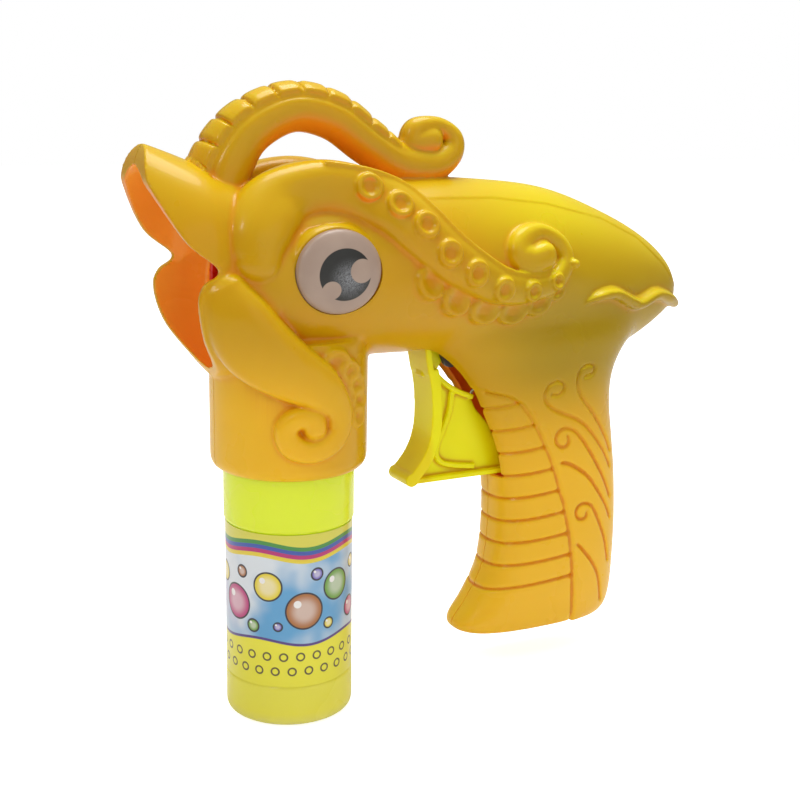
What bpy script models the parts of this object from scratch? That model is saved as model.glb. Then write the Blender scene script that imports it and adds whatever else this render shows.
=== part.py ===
"""Trigger-operated bubble blower, moulded as an octopus that stands on its bottle.

Dimensions are in millimetres, the scene is in metres.  The origin is the centre of the
bottle's base.  +Z runs up the bottle, the mouth points to -X, the left half lies on -Y.
"""

import math

import bmesh
import bpy
from mathutils import Matrix, Vector

MM = 0.001

# Walls and clearances
CLEARANCE = 0.3
WALL = 2.2
PARTING_GAP = 0.3
# Half width of the tools that cut right through the moulding
FAR = 40.0

# Bottle, turned about Z
BOTTLE_HEIGHT = 94.0
BOTTLE_BAND_RADIUS = 18.9
BOTTLE_PANEL_STEP = 0.9
BOTTLE_FOOT_STEP = 0.6
BOTTLE_FOOT_HEIGHT = 11.5
BOTTLE_FOOT_FILLET = 4.6
BOTTLE_BAND_LENGTH = 17.5
BOTTLE_SHOULDER_LENGTH = 6.5
BOTTLE_SHOULDER_INSET = 1.6
BOTTLE_SHOULDER_RISE = 2.0
BOTTLE_NECK_RADIUS = 13.6
BOTTLE_NECK_LENGTH = 11.5
BOTTLE_WALL = 1.3
LABEL_THICKNESS = 0.25

# Level of the bottle's neck in the blower's own frame
NECK_LEVEL = 94.0

# Cup that takes the bottle
CUP_WALL = 2.2
CUP_EDGE = 73.5
CUP_TOP = 112.0
CUP_FILLET = 3.5
CUP_PLAY = 1.4
SOCKET_SKIRT_LENGTH = 10.0
SOCKET_WALL = 2.8
SOCKET_PLATE = 2.4
SOCKET_FLANGE_OVERLAP = 0.8
SOCKET_FLANGE_THICKNESS = 2.6
SEAL_THICKNESS = 2.0
SEAL_BORE_RADIUS = 9.5
DIP_TUBE_RADIUS = 2.2
DIP_TUBE_BORE = 1.2
DIP_TUBE_FOOT = 5.0
DIP_TUBE_COLLAR_RADIUS = 4.2
DIP_TUBE_COLLAR = 1.8
DIP_TUBE_RISE = 2.4

# Mantle and head: x, top, bottom, half width
MANTLE = [
    (-22.0, 152.0, 109.0, 19.5),
    (-8.0, 153.5, 104.5, 22.5),
    (8.0, 154.5, 104.0, 24.0),
    (28.0, 155.0, 104.0, 23.0),
    (57.0, 154.0, 103.0, 20.5),
    (83.0, 151.0, 101.0, 18.0),
    (106.0, 143.0, 98.0, 13.5),
    (122.0, 135.0, 103.0, 8.8),
    (132.0, 127.0, 109.5, 4.8),
    (136.5, 119.5, 114.0, 1.6),
]
MANTLE_WAIST_SHARE = 0.46
MANTLE_POWER = 1.85
# Share of the height above which an arm keeps its distance from the middle plane
MANTLE_SHOULDER_SHARE = 0.9
CAVITY_FRONT = -10.5
CAVITY_REAR = 121.0

# Handle: z, front, rear, half width
HANDLE = [
    (11.5, 58.0, 109.4, 11.2),
    (13.0, 55.4, 112.0, 12.0),
    (16.0, 55.8, 113.6, 12.7),
    (22.0, 60.4, 114.4, 13.2),
    (32.0, 65.8, 114.5, 13.5),
    (45.0, 67.6, 114.2, 13.8),
    (60.0, 67.2, 113.0, 14.0),
    (72.0, 64.6, 111.3, 14.2),
    (82.0, 60.2, 109.8, 14.5),
    (90.0, 56.4, 109.6, 15.0),
    (96.0, 52.0, 111.2, 15.5),
    (101.0, 46.8, 114.0, 16.0),
    (106.0, 40.0, 118.0, 16.5),
    (112.0, 36.0, 121.0, 15.0),
]
HANDLE_POWER = 2.6
GRIP_GROOVES = 9
GRIP_GROOVE_START = 22.0
GRIP_GROOVE_PITCH = 7.4
GRIP_GROOVE_WIDTH = 1.2
GRIP_GROOVE_DEPTH = 0.8
GRIP_BORDER = [(97.0, 10.0), (94.0, 18.0), (86.6, 55.0), (78.0, 78.0), (66.0, 92.0)]

# Mouth, upper hood: x, top, half width at its lower edge, power of its arch
HOOD = [
    (-46.0, 165.8, 18.2, 1.5), (-40.0, 164.0, 20.2, 1.6), (-34.0, 161.8, 20.6, 2.0),
    (-28.0, 159.4, 20.2, 2.5), (-23.0, 157.0, 18.6, 2.8), (-14.0, 154.0, 17.0, 3.0),
]
HOOD_EDGE = 130.5
# Mouth, lower lip: x, centre height, radius
LIP = [
    (-37.0, 124.8, 19.8), (-30.0, 124.3, 20.4), (-26.0, 123.6, 20.9), (-21.0, 122.5, 21.6),
    (-12.0, 120.0, 21.8),
]
# Side view of the rim: x, z
RIM = [
    (-36.5, 169.0), (-41.5, 163.5), (-43.5, 157.0), (-42.3, 152.0), (-35.6, 140.0),
    (-27.4, 132.8), (-31.5, 128.9), (-33.0, 124.0), (-30.8, 114.5), (-25.4, 105.5), (-22.5, 100.0),
]
MOUTH_WALL = 1.9
MOUTH_BACK = -17.0
THROAT_HEIGHT = 127.0
THROAT_RADIUS = 13.0
RING_FLANGE_OVERLAP = 2.2
RING_CHAMFER = 0.8
RING_FLANGE_THICKNESS = 2.4
RING_WALL = 2.2
RING_HUB_RADIUS = 3.6
RING_SPOKES = 6
RING_SPOKE_WIDTH = 1.6

# Arms: x, height, depth of the centre line below the skin, radius
SIDE_ARM = [
    (-16.4, 134.2, 3.6, 5.8), (-15.6, 140.6, 3.2, 7.4), (-11.2, 146.8, 2.6, 8.4), (-4.0, 150.0, 1.8, 8.2),
    (5.2, 151.2, 1.0, 7.4), (14.6, 150.4, 2.0, 6.8), (23.2, 147.6, 3.0, 6.6), (30.4, 141.4, 3.4, 6.6),
    (37.9, 134.4, 3.4, 6.3), (47.0, 128.8, 3.2, 5.9), (56.6, 124.4, 3.0, 5.4), (67.0, 123.2, 2.6, 4.7),
    (76.2, 125.2, 2.2, 3.8), (81.0, 130.6, 1.8, 2.9), (79.0, 136.2, 1.6, 2.6), (72.4, 139.2, 1.4, 2.7),
    (66.0, 137.4, 1.6, 3.7), (63.9, 133.8, 1.6, 4.2), (67.2, 131.6, 1.2, 4.0), (72.6, 132.8, 0.8, 4.0),
]
SIDE_SUCKERS = [
    (16.1, 153.0, 3.6), (24.1, 148.4, 3.6), (30.9, 142.8, 3.7), (37.8, 135.5, 3.7), (46.6, 129.6, 3.7),
    (56.5, 124.6, 3.5), (67.3, 123.2, 2.8), (76.5, 125.4, 2.3), (82.2, 130.0, 1.5),
]
# Knots of the arm that carry suckers
SUCKER_KNOTS = (4, 15)
SUCKER_RING = 0.3
SIDE_FRILL = [
    (33.6, 127.0, 5.2), (42.8, 121.8, 5.6), (53.4, 118.2, 5.6), (63.4, 117.2, 5.0), (72.0, 119.0, 4.2),
]
FRILL_THICKNESS = 2.2
FIN = [
    (90.5, 117.6), (97.0, 120.0), (104.0, 120.2), (112.5, 116.8), (120.0, 118.6), (128.0, 117.6),
    (135.5, 114.5),
]
FIN_RADIUS = 1.8

# Lobe of the lower lip: x, y, height, radius; the lower arm grows out of it
LIP_LOBE = [(-25.6, -18.0, 126.4, 5.4), (-22.4, -19.2, 119.8, 6.6), (-16.6, -19.2, 112.0, 7.4)]
# Lower arm on the cup: x, height, radius (the centre line lies on the cup's wall)
CUP_ARM = [
    (-8.6, 105.6, 7.0), (-1.0, 100.4, 6.0), (4.2, 94.6, 4.5), (4.9, 88.8, 3.8), (1.8, 84.6, 3.5),
    (-3.2, 83.0, 3.3), (-8.0, 84.8, 3.5), (-9.4, 89.2, 3.3), (-6.6, 92.4, 3.3), (-2.6, 91.4, 3.4),
    (-2.4, 89.2, 3.3),
]
CUP_FRILL = [(4.6, 107.2, 4.4), (9.0, 103.4, 4.2), (11.8, 98.6, 3.9), (12.8, 93.2, 3.6)]

# Arch over the head: x, height, radius
ARCH = [
    (-21.0, 150.0, 8.6), (-18.8, 158.8, 8.2), (-11.9, 167.9, 7.2), (0.5, 173.4, 6.4), (13.0, 171.2, 6.2),
    (24.0, 164.0, 6.0), (34.0, 158.6, 5.7), (44.5, 158.0, 4.8), (50.6, 161.2, 3.9), (51.6, 165.8, 2.9),
    (46.6, 169.2, 2.3), (39.4, 168.2, 3.2), (38.4, 164.8, 3.8), (43.6, 165.0, 4.2),
]
ARCH_SCALES = 10
ARCH_SCALE_FROM = 0.07
ARCH_SCALE_TO = 0.45
ARCH_SCALE_HEIGHT = 1.9

# Eyes
EYE_X = 5.0
EYE_HEIGHT = 131.5
EYE_RADIUS = 12.3
EYE_SEAT = 21.6
EYE_RIM = 1.6
EYE_DOME = 3.2

# Skin of the moulding
SKIN_VOXEL = 0.9
SKIN_TRIANGLES = 3400

# Facets of small round pieces
BORE_SIDES = 10
TURN_STEPS = 24

# Screws, driven from the right half: x, z, distance of the head's seat from the middle plane
SCREWS = [
    (88.0, 22.0, 7.0), (105.0, 58.0, 7.0), (92.0, 92.0, 8.5),
    (108.0, 122.0, 6.0), (30.0, 108.5, 9.0), (18.0, 148.5, 7.0),
]
SCREW_RADIUS = 1.3
SCREW_HEAD_RADIUS = 2.6
SCREW_HEAD_THICKNESS = 1.7
SCREW_REACH = 8.0
SCREW_BOSS_RADIUS = 3.8

# Gear train, in the XZ plane
MODULE = 1.0
TRIGGER_PIVOT = (50.0, 110.5)
SECTOR_TEETH = 28
PINION_TEETH = 8
WHEEL_TEETH = 20
GEAR_1_BEARING = 67.0
GEAR_2_BEARING = 170.0
FAN_BEARING = 188.0
TOOTH_ADDENDUM = 0.72
TOOTH_DEDENDUM = 1.15
TOOTH_SHARE = 0.38
SECTOR_TRAIL = 34.0
SECTOR_LEAD = 17.0
GEAR_THICKNESS = 2.4
GEAR_SPACING = 0.6
AXLE_RADIUS = 1.25
PLATE_THICKNESS = 1.8
PLATE_LOBE_RADIUS = 12.0
PLATE_LOBE_BEARINGS = (-86.0, -58.0)
PLATE_LOBE_ROUNDING = 2.5
PLATE_EAR_RADIUS = 5.5
PLATE_POST_RADIUS = 3.4

# Fan
FAN_RADIUS = 10.8
FAN_WIDTH = 10.5
FAN_BLADES = 8
FAN_BLADE_THICKNESS = 1.0
FAN_DISC = 1.2
FAN_HUB_RADIUS = 3.2
FAN_RUNNING_GAP = 0.9
FAN_CASE_WALL = 1.4
FAN_INLET_RADIUS = 7.5
FAN_OUTLET = (119.0, 135.0)
FAN_BOSS_RADIUS = 3.2
FAN_BOSS_DEPTH = 5.0

# Pump and hose
PUMP_ROTOR_RADIUS = 5.4
PUMP_ROTOR_LOBES = 3
PUMP_ROTOR_WIDTH = 2.8
HOSE_RADIUS = 1.5

# Trigger, in the XZ plane
TRIGGER_HALF_WIDTH = 6.0
TRIGGER_WEB = 3.2
TRIGGER_RIB = 8.0
TRIGGER_CURL_STEP = 1.0
TRIGGER_ARM = 4.0
TRIGGER_HUB_RADIUS = 5.2
TRIGGER_PIN_RADIUS = 1.8
TRIGGER_PLATE = 3.4
TRIGGER_RIB_THICKNESS = 1.6
TRIGGER_FRONT = [(42.4, 98.0), (43.6, 91.5), (44.0, 84.0), (43.4, 77.6), (41.0, 71.6), (35.8, 65.4)]
TRIGGER_TOP = [(46.0, 97.2), (47.4, 94.6), (50.2, 92.0), (54.0, 90.3), (59.6, 89.0)]
TRIGGER_REAR = [(61.6, 84.0), (66.6, 78.2), (70.2, 70.6), (71.6, 64.0)]
TRIGGER_TOE = (38.4, 63.2)
TRIGGER_S_RIB = [
    (51.6, 91.0), (51.0, 85.0), (48.8, 79.0), (47.0, 74.6), (46.8, 70.8), (49.0, 68.0), (53.6, 66.5),
    (61.0, 65.4),
]
TRIGGER_STEM = (44.9, 96.2)
TRIGGER_STEM_RADIUS = 2.2
SLOT_PLAY = 0.6
SLOT_FRONT = 36.5
SLOT_REAR = 76.0
SLOT_BOTTOM = 59.5
SLOT_TOP = 107.0

# Trigger spring
SPRING_TURNS = 6
SPRING_RADIUS = 2.6
SPRING_WIRE = 0.5
SPRING_FRONT = (61.6, 87.2)


def clear_scene():
    for obj in list(bpy.data.objects):
        bpy.data.objects.remove(obj)


def new_collection(name):
    collection = bpy.data.collections.new(name)
    bpy.context.scene.collection.children.link(collection)
    return collection


def plastic(name, rgb, roughness, metallic=0.0):
    """Principled material from a display colour."""
    result = bpy.data.materials.new(name)
    result.use_nodes = True
    shader = result.node_tree.nodes["Principled BSDF"]
    linear = [((c + 0.055) / 1.055) ** 2.4 if c > 0.04045 else c / 12.92 for c in rgb]
    shader.inputs["Base Color"].default_value = (*linear, 1.0)
    shader.inputs["Roughness"].default_value = roughness
    shader.inputs["Metallic"].default_value = metallic
    result.diffuse_color = (*linear, 1.0)
    return result


def smooth(rows, per_span):
    """Rows of numbers along a smooth curve through the given rows."""
    last = len(rows) - 1
    result = []
    for i in range(last):
        before, start = rows[max(i - 1, 0)], rows[i]
        end, after = rows[i + 1], rows[min(i + 2, last)]
        for k in range(per_span):
            t = k / per_span
            result.append(tuple(
                0.5 * (2 * b + (c - a) * t + (2 * a - 5 * b + 4 * c - d) * t ** 2
                       + (3 * b - a - 3 * c + d) * t ** 3)
                for a, b, c, d in zip(before, start, end, after)))
    result.append(tuple(rows[last]))
    return result


def row_at(rows, first):
    """The row at a given first value, on straight lines between the rows."""
    for low, high in zip(rows, rows[1:]):
        if first <= high[0]:
            break
    share = (first - low[0]) / (high[0] - low[0])
    return [a + share * (b - a) for a, b in zip(low, high)]


def superellipse(power, count):
    """Points of a unit superellipse, counter-clockwise."""
    points = []
    for i in range(count):
        angle = 2 * math.pi * (i + 0.5) / count
        c, s = math.cos(angle), math.sin(angle)
        points.append((math.copysign(abs(c) ** (2 / power), c), math.copysign(abs(s) ** (2 / power), s)))
    return points


def arc(centre, radius, start, end, count):
    """Points on an arc in the XZ plane, angles in degrees."""
    angles = [math.radians(start + (end - start) * i / (count - 1)) for i in range(count)]
    return [(centre[0] + radius * math.cos(a), centre[1] + radius * math.sin(a)) for a in angles]


def polar(centre, radius, angle):
    return arc(centre, radius, angle, angle, 2)[0]


def loft(rings):
    """Closed body through rings with equally many points."""
    bm = bmesh.new()
    rows = [[bm.verts.new(point) for point in ring] for ring in rings]
    count = len(rows[0])
    for low, high in zip(rows, rows[1:]):
        for i in range(count):
            j = (i + 1) % count
            bm.faces.new((low[i], low[j], high[j], high[i]))
    bm.faces.new(reversed(rows[0]))
    bm.faces.new(rows[-1])
    bmesh.ops.recalc_face_normals(bm, faces=bm.faces)
    return bm


def prism(outline, y_from, y_to):
    """Outline in the XZ plane, extruded along Y."""
    return loft([[(x, y, z) for x, z in outline] for y in (y_from, y_to)])


def cylinder(centre, radius, y_from, y_to, sides):
    """Cylinder along Y."""
    return prism(arc(centre, radius, 0, 360 * (sides - 1) / sides, sides), y_from, y_to)


def box(x_range, y_range, z_range):
    (left, right), (low, high) = x_range, z_range
    return prism([(left, low), (right, low), (right, high), (left, high)], *y_range)


def ball(centre, radii, turn=0.0):
    """Ellipsoid, turned about Y by an angle in radians."""
    bm = bmesh.new()
    bmesh.ops.create_uvsphere(bm, u_segments=16, v_segments=10, radius=1.0)
    place = Matrix.Translation(centre) @ Matrix.Rotation(turn, 4, "Y") @ Matrix.Diagonal((*radii, 1.0))
    bmesh.ops.transform(bm, matrix=place, verts=bm.verts)
    return bm


def ring_of(profile, steps, matrix=Matrix()):
    """Closed profile (radius, height) spun round Z, then placed by the matrix."""
    rings = []
    for i in range(steps):
        angle = 2 * math.pi * i / steps
        rings.append([(r * math.cos(angle), r * math.sin(angle), z) for r, z in profile])
    bm = bmesh.new()
    rows = [[bm.verts.new(matrix @ Vector(point)) for point in ring] for ring in rings]
    count = len(profile)
    for i in range(steps):
        low, high = rows[i], rows[(i + 1) % steps]
        for k in range(count):
            m = (k + 1) % count
            if profile[k][0] or profile[m][0]:
                bm.faces.new((low[k], low[m], high[m], high[k]))
    bmesh.ops.remove_doubles(bm, verts=bm.verts, dist=0.0001)
    bmesh.ops.recalc_face_normals(bm, faces=bm.faces)
    return bm


def join(bodies):
    """All bodies in one mesh, still overlapping."""
    result = bmesh.new()
    for bm in bodies:
        mesh = bpy.data.meshes.new("body")
        bm.to_mesh(mesh)
        bm.free()
        result.from_mesh(mesh)
        bpy.data.meshes.remove(mesh)
    return result


def mirrored(bm):
    """Copy of a body on the other side of the middle plane."""
    copy = bm.copy()
    bmesh.ops.scale(copy, vec=(1, -1, 1), verts=copy.verts)
    bmesh.ops.reverse_faces(copy, faces=copy.faces)
    return copy


def evaluated_mesh(obj):
    graph = bpy.context.evaluated_depsgraph_get()
    return bpy.data.meshes.new_from_object(obj.evaluated_get(graph))


def bent_tube(points, bevel_resolution=3, steps=4):
    """Tapered round tube through (x, y, z, radius) knots, as a closed mesh."""
    curve = bpy.data.curves.new("tube", "CURVE")
    curve.dimensions = "3D"
    curve.bevel_depth = 1.0
    curve.bevel_resolution = bevel_resolution
    curve.use_fill_caps = True
    curve.resolution_u = steps
    spline = curve.splines.new("BEZIER")
    spline.radius_interpolation = "CARDINAL"
    spline.bezier_points.add(len(points) - 1)
    for knot, (x, y, z, radius) in zip(spline.bezier_points, points):
        knot.co = (x, y, z)
        knot.radius = float(radius)
        knot.handle_left_type = "AUTO"
        knot.handle_right_type = "AUTO"
    obj = bpy.data.objects.new("tube", curve)
    bpy.context.scene.collection.objects.link(obj)
    bpy.context.view_layer.update()
    mesh = evaluated_mesh(obj)
    bm = bmesh.new()
    bm.from_mesh(mesh)
    bmesh.ops.remove_doubles(bm, verts=bm.verts, dist=0.001)
    bmesh.ops.recalc_face_normals(bm, faces=bm.faces)
    bpy.data.objects.remove(obj)
    bpy.data.curves.remove(curve)
    bpy.data.meshes.remove(mesh)
    return bm


def arm(points, bevel_resolution=3):
    """Tube with a rounded tip at its last point."""
    *place, radius = points[-1]
    return [bent_tube(points, bevel_resolution), ball(place, (radius, radius, radius))]


class Builder:
    """Collections, the blower's frame and the materials that the pieces share."""

    def __init__(self):
        self.parts = new_collection("bubble_blower")
        self.cutters = new_collection("cutters")
        self.lift = BOTTLE_HEIGHT - NECK_LEVEL
        self.blower = bpy.data.objects.new("blower_frame", None)
        self.blower.location.z = self.lift * MM
        self.parts.objects.link(self.blower)

    def add(self, name, bm, material=None, origin=(0.0, 0.0, 0.0), frame=True):
        """Object in metres from a body in millimetres, with its origin where asked."""
        bmesh.ops.translate(bm, vec=-Vector(origin), verts=bm.verts)
        bmesh.ops.scale(bm, vec=(MM, MM, MM), verts=bm.verts)
        mesh = bpy.data.meshes.new(name)
        bm.to_mesh(mesh)
        bm.free()
        obj = bpy.data.objects.new(name, mesh)
        obj.location = Vector(origin) * MM
        if frame:
            obj.parent = self.blower
        if material:
            mesh.materials.append(material)
            self.parts.objects.link(obj)
            mesh.shade_smooth()
            mesh.set_sharp_from_angle(angle=math.radians(35))
        else:
            self.cutters.objects.link(obj)
            obj.hide_render = True
            obj.display_type = "WIRE"
        return obj

    def combine(self, obj, tool, operation, solver="EXACT"):
        """Boolean that stays on the object; the tool goes with the cutters."""
        if isinstance(tool, bmesh.types.BMesh):
            tool = self.add(obj.name + "_tool", tool)
        modifier = obj.modifiers.new(tool.name, "BOOLEAN")
        modifier.operation = operation
        modifier.solver = solver
        modifier.object = tool
        return obj

    def fuse(self, obj, *bodies):
        for body in bodies:
            self.combine(obj, body, "UNION")
        return obj

    def cut(self, obj, *bodies):
        for body in bodies:
            self.combine(obj, body, "DIFFERENCE")
        return obj

    def turned(self, name, profile, steps, material, frame=True):
        """Profile (radius, height) from the top down its outer side, turned about Z."""
        bm = bmesh.new()
        points = [bm.verts.new((r, 0.0, z)) for r, z in profile]
        for low, high in zip(points, points[1:]):
            bm.edges.new((low, high))
        if profile[0][0] > 0 or profile[-1][0] > 0:
            bm.edges.new((points[-1], points[0]))
        obj = self.add(name, bm, material, frame=frame)
        screw = obj.modifiers.new("turn", "SCREW")
        screw.steps = steps
        screw.render_steps = steps
        screw.use_merge_vertices = True
        screw.merge_threshold = 0.00001
        return obj


def mantle_rows():
    return smooth(MANTLE, 3)


def mantle_side(x, z):
    """Distance of the mantle's skin from the middle plane."""
    _, top, bottom, half_width = row_at(mantle_rows(), x)
    middle = bottom + MANTLE_WAIST_SHARE * (top - bottom)
    height = top - middle if z > middle else middle - bottom
    share = min(abs(z - middle) / height, MANTLE_SHOULDER_SHARE)
    return half_width * (1 - share ** MANTLE_POWER) ** (1 / MANTLE_POWER)


def mantle_body(rows, inset, sides):
    rings = []
    for x, top, bottom, half_width in rows:
        middle = bottom + MANTLE_WAIST_SHARE * (top - bottom)
        ring = []
        for u, v in superellipse(MANTLE_POWER, sides):
            height = top - middle if v > 0 else middle - bottom
            ring.append((x, u * (half_width - inset), middle + v * (height - inset)))
        rings.append(ring)
    return loft(rings)


def handle_body(rows, inset, sides):
    rings = []
    for z, front, rear, half_width in rows:
        middle, reach = (front + rear) / 2, (rear - front) / 2 - inset
        unit = superellipse(HANDLE_POWER, sides)
        rings.append([(middle + u * reach, v * (half_width - inset), z) for u, v in unit])
    return loft(rings)


def hood_body(inset, half_sides, per_span):
    """Upper half of the mouth: arches that grow rounder toward the head."""
    rings = []
    edge = HOOD_EDGE
    for x, top, half_width, power in smooth(HOOD, per_span):
        ring = []
        for i in range(half_sides + 1):
            angle = math.pi * i / half_sides
            rise = math.sin(angle) ** (2 / power) if 0 < i < half_sides else 0.0
            ring.append((x, (half_width - inset) * math.cos(angle), edge + (top - inset - edge) * rise))
        rings.append(ring)
    return loft(rings)


def lip_body(inset, sides, per_span):
    """Lower half of the mouth: a round bowl that widens toward the head."""
    rings = []
    end = 360 * (sides - 1) / sides
    for x, height, radius in smooth(LIP, per_span):
        rings.append([(x, y, z) for y, z in arc((0, height), radius - inset, 0, end, sides)])
    return loft(rings)


def cup_bore_radius():
    return BOTTLE_BAND_RADIUS + CUP_PLAY


def cup_radius():
    return cup_bore_radius() + CUP_WALL


def cup_body():
    profile = [(0.0, CUP_TOP), (cup_radius(), CUP_TOP)]
    centre = (cup_radius() - CUP_FILLET, CUP_EDGE + CUP_FILLET)
    profile += arc(centre, CUP_FILLET, 0, -90, 5)
    profile.append((0.0, CUP_EDGE))
    return ring_of(profile, 48)


def on_cup(x, z, sink=0.0):
    """Point on the cup's wall on the left side."""
    reach = cup_radius() - sink
    return (x, -math.sqrt(max(reach ** 2 - x ** 2, 0.0)), z)


def suckers():
    """Ring suckers on the side arm, each a torus that faces sideways."""
    knots = SIDE_ARM[slice(*SUCKER_KNOTS)]
    bodies = []
    for x, z, radius in SIDE_SUCKERS:
        near = min(knots, key=lambda knot: (knot[0] - x) ** 2 + (knot[1] - z) ** 2)
        depth = near[2] - near[3]
        y = -mantle_side(x, z) + depth + SUCKER_RING
        thick = radius * 0.36
        profile = arc((radius - thick, 0), thick, 0, 315, 8)
        place = Matrix.Translation((x, y, z)) @ Matrix.Rotation(math.radians(90), 4, "X")
        bodies.append(ring_of(profile, 20, place))
    return bodies


def side_forms():
    """What the left side carries; the right side has its mirror image."""
    arm_knots = [(x, -mantle_side(x, z) + depth, z, radius) for x, z, depth, radius in SIDE_ARM]
    bodies = arm(arm_knots)
    bodies += suckers()
    for x, z, radius in SIDE_FRILL:
        bodies.append(ball((x, -mantle_side(x, z), z), (radius, FRILL_THICKNESS, radius * 0.8), 0.5))
    fin = [(x, -mantle_side(x, z), z, FIN_RADIUS) for x, z in FIN]
    bodies += arm(fin, 2)
    bodies += arm(LIP_LOBE + [(*on_cup(x, z), radius) for x, z, radius in CUP_ARM])
    for x, z, radius in CUP_FRILL:
        bodies.append(ball(on_cup(x, z, 0.4), (radius * 0.8, FRILL_THICKNESS, radius), 0.6))
    return bodies


def arch_forms():
    bodies = arm([(x, 0.0, z, radius) for x, z, radius in ARCH])
    path = smooth(ARCH, 8)
    for i in range(ARCH_SCALES):
        share = ARCH_SCALE_FROM + (ARCH_SCALE_TO - ARCH_SCALE_FROM) * i / (ARCH_SCALES - 1)
        index = round(share * (len(path) - 2))
        (x, z, radius), (next_x, next_z, _) = path[index], path[index + 1]
        along = Vector((next_x - x, 0, next_z - z)).normalized()
        out = Vector((-along.z, 0, along.x))
        length = 5.0 - 0.28 * i
        place = Vector((x, 0, z)) + out * (radius - 0.3)
        turn = -math.atan2(along.z, along.x)
        bodies.append(ball(place, (length * 0.62, length, ARCH_SCALE_HEIGHT), turn))
    return bodies


def skin_mesh(build):
    """The outside of the moulding, both halves, melted together and thinned out."""
    sides = side_forms()
    bodies = [
        mantle_body(mantle_rows(), 0.0, 40),
        handle_body(smooth(HANDLE, 2), 0.0, 36),
        cup_body(),
        hood_body(0.0, 28, 3),
        lip_body(0.0, 36, 3),
    ]
    bodies += arch_forms() + [mirrored(body) for body in sides] + sides
    obj = build.add("skin", join(bodies))
    remesh = obj.modifiers.new("melt", "REMESH")
    remesh.mode = "VOXEL"
    remesh.voxel_size = SKIN_VOXEL * MM
    bpy.context.view_layer.update()
    melted = evaluated_mesh(obj)
    thin = obj.modifiers.new("thin", "DECIMATE")
    thin.ratio = SKIN_TRIANGLES / (2 * len(melted.polygons))
    bpy.context.view_layer.update()
    mesh = evaluated_mesh(obj)
    bpy.data.meshes.remove(melted)
    bpy.data.objects.remove(obj)
    return mesh


def gear_places():
    """Axes of the two gears and the fan, each in mesh with the one before."""
    pitch = [MODULE * teeth / 2 for teeth in (SECTOR_TEETH, PINION_TEETH, WHEEL_TEETH)]
    first = polar(TRIGGER_PIVOT, pitch[0] + pitch[1], GEAR_1_BEARING)
    second = polar(first, pitch[2] + pitch[1], GEAR_2_BEARING)
    fan = polar(second, pitch[2] + pitch[1], FAN_BEARING)
    return first, second, fan


def layer(index):
    """The y range of a layer of gears; layer 0 holds the trigger's sector."""
    start = -GEAR_THICKNESS / 2 + index * (GEAR_THICKNESS + GEAR_SPACING)
    return start, start + GEAR_THICKNESS


def left_plate_range():
    inner = layer(0)[0] - GEAR_SPACING - (TRIGGER_ARM - GEAR_THICKNESS) / 2
    return inner - PLATE_THICKNESS, inner


def right_plate_range():
    inner = layer(2)[1] + GEAR_SPACING
    return inner, inner + PLATE_THICKNESS


def pump_range():
    inner = right_plate_range()[1] + CLEARANCE + 0.1
    return inner, inner + PUMP_ROTOR_WIDTH


def gear_body(centre, teeth, mesh_angle, tooth_there, y_range, span=None):
    """Toothed disc, or a sector of one, with a tooth or else a gap at the given bearing."""
    step = 360 / teeth
    radius = MODULE * teeth / 2
    tip, root = radius + TOOTH_ADDENDUM * MODULE, radius - TOOTH_DEDENDUM * MODULE
    flank = step * TOOTH_SHARE / 2
    start = mesh_angle if tooth_there else mesh_angle + step / 2
    middles = [start + i * step for i in range(teeth)]
    if span:
        middles = sorted((middle - span[0]) % 360 + span[0] for middle in middles)
        middles = [middle for middle in middles if middle <= span[1]]
    outline = []
    for middle in middles:
        outline += [
            polar(centre, root, middle - flank * 1.5), polar(centre, tip, middle - flank * 0.55),
            polar(centre, tip, middle + flank * 0.55), polar(centre, root, middle + flank * 1.5)]
    if span:
        outline.append(centre)
    return prism(outline, *y_range)


def hull(circles, count=20):
    """Convex outline round circles given as (centre, radius)."""
    points = sorted(point for centre, radius in circles for point in arc(centre, radius, 0, 342, count))

    def chain(ordered):
        line = []
        for p in ordered:
            while len(line) > 1 and (
                    (line[-1][0] - line[-2][0]) * (p[1] - line[-2][1])
                    <= (line[-1][1] - line[-2][1]) * (p[0] - line[-2][0])):
                line.pop()
            line.append(p)
        return line[:-1]

    return chain(points) + chain(reversed(points))


def post_places():
    """Posts of the two halves that hold the gear plates: x, z, start, end along Y."""
    first, second, _ = gear_places()
    left = left_plate_range()[0] - CLEARANCE
    right = right_plate_range()[1] + CLEARANCE
    return [
        (first, -FAR, left), (TRIGGER_PIVOT, -FAR, left), (first, right, FAR),
        (TRIGGER_PIVOT, layer(0)[1] + GEAR_SPACING + TRIGGER_ARM / 2, FAR)]


def cavity_cutter(build):
    """Hollow of the head and the handle, less the posts and screw bosses left standing in it."""
    rows = [row for row in MANTLE if CAVITY_FRONT < row[0] < CAVITY_REAR]
    rows.insert(0, tuple(row_at(mantle_rows(), CAVITY_FRONT)))
    cutter = build.add("cavity", mantle_body(rows, WALL, 20))
    floor = HANDLE[0][0] + WALL
    handle_rows = [tuple(row_at(HANDLE, floor))] + [row for row in HANDLE if row[0] > floor + WALL]
    build.fuse(cutter, handle_body(handle_rows, WALL, 16))
    columns = [cylinder((x, z), SCREW_BOSS_RADIUS, -FAR, FAR, 8) for x, z, _ in SCREWS]
    columns += [cylinder(centre, PLATE_POST_RADIUS, start, end, 8) for centre, start, end in post_places()]
    for side in (-1, 1):
        seat = (EYE_SEAT - WALL) * side
        columns.append(cylinder((EYE_X, EYE_HEIGHT), EYE_RADIUS + CLEARANCE + WALL, seat, FAR * side, 20))
    return build.cut(cutter, join(columns))


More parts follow.
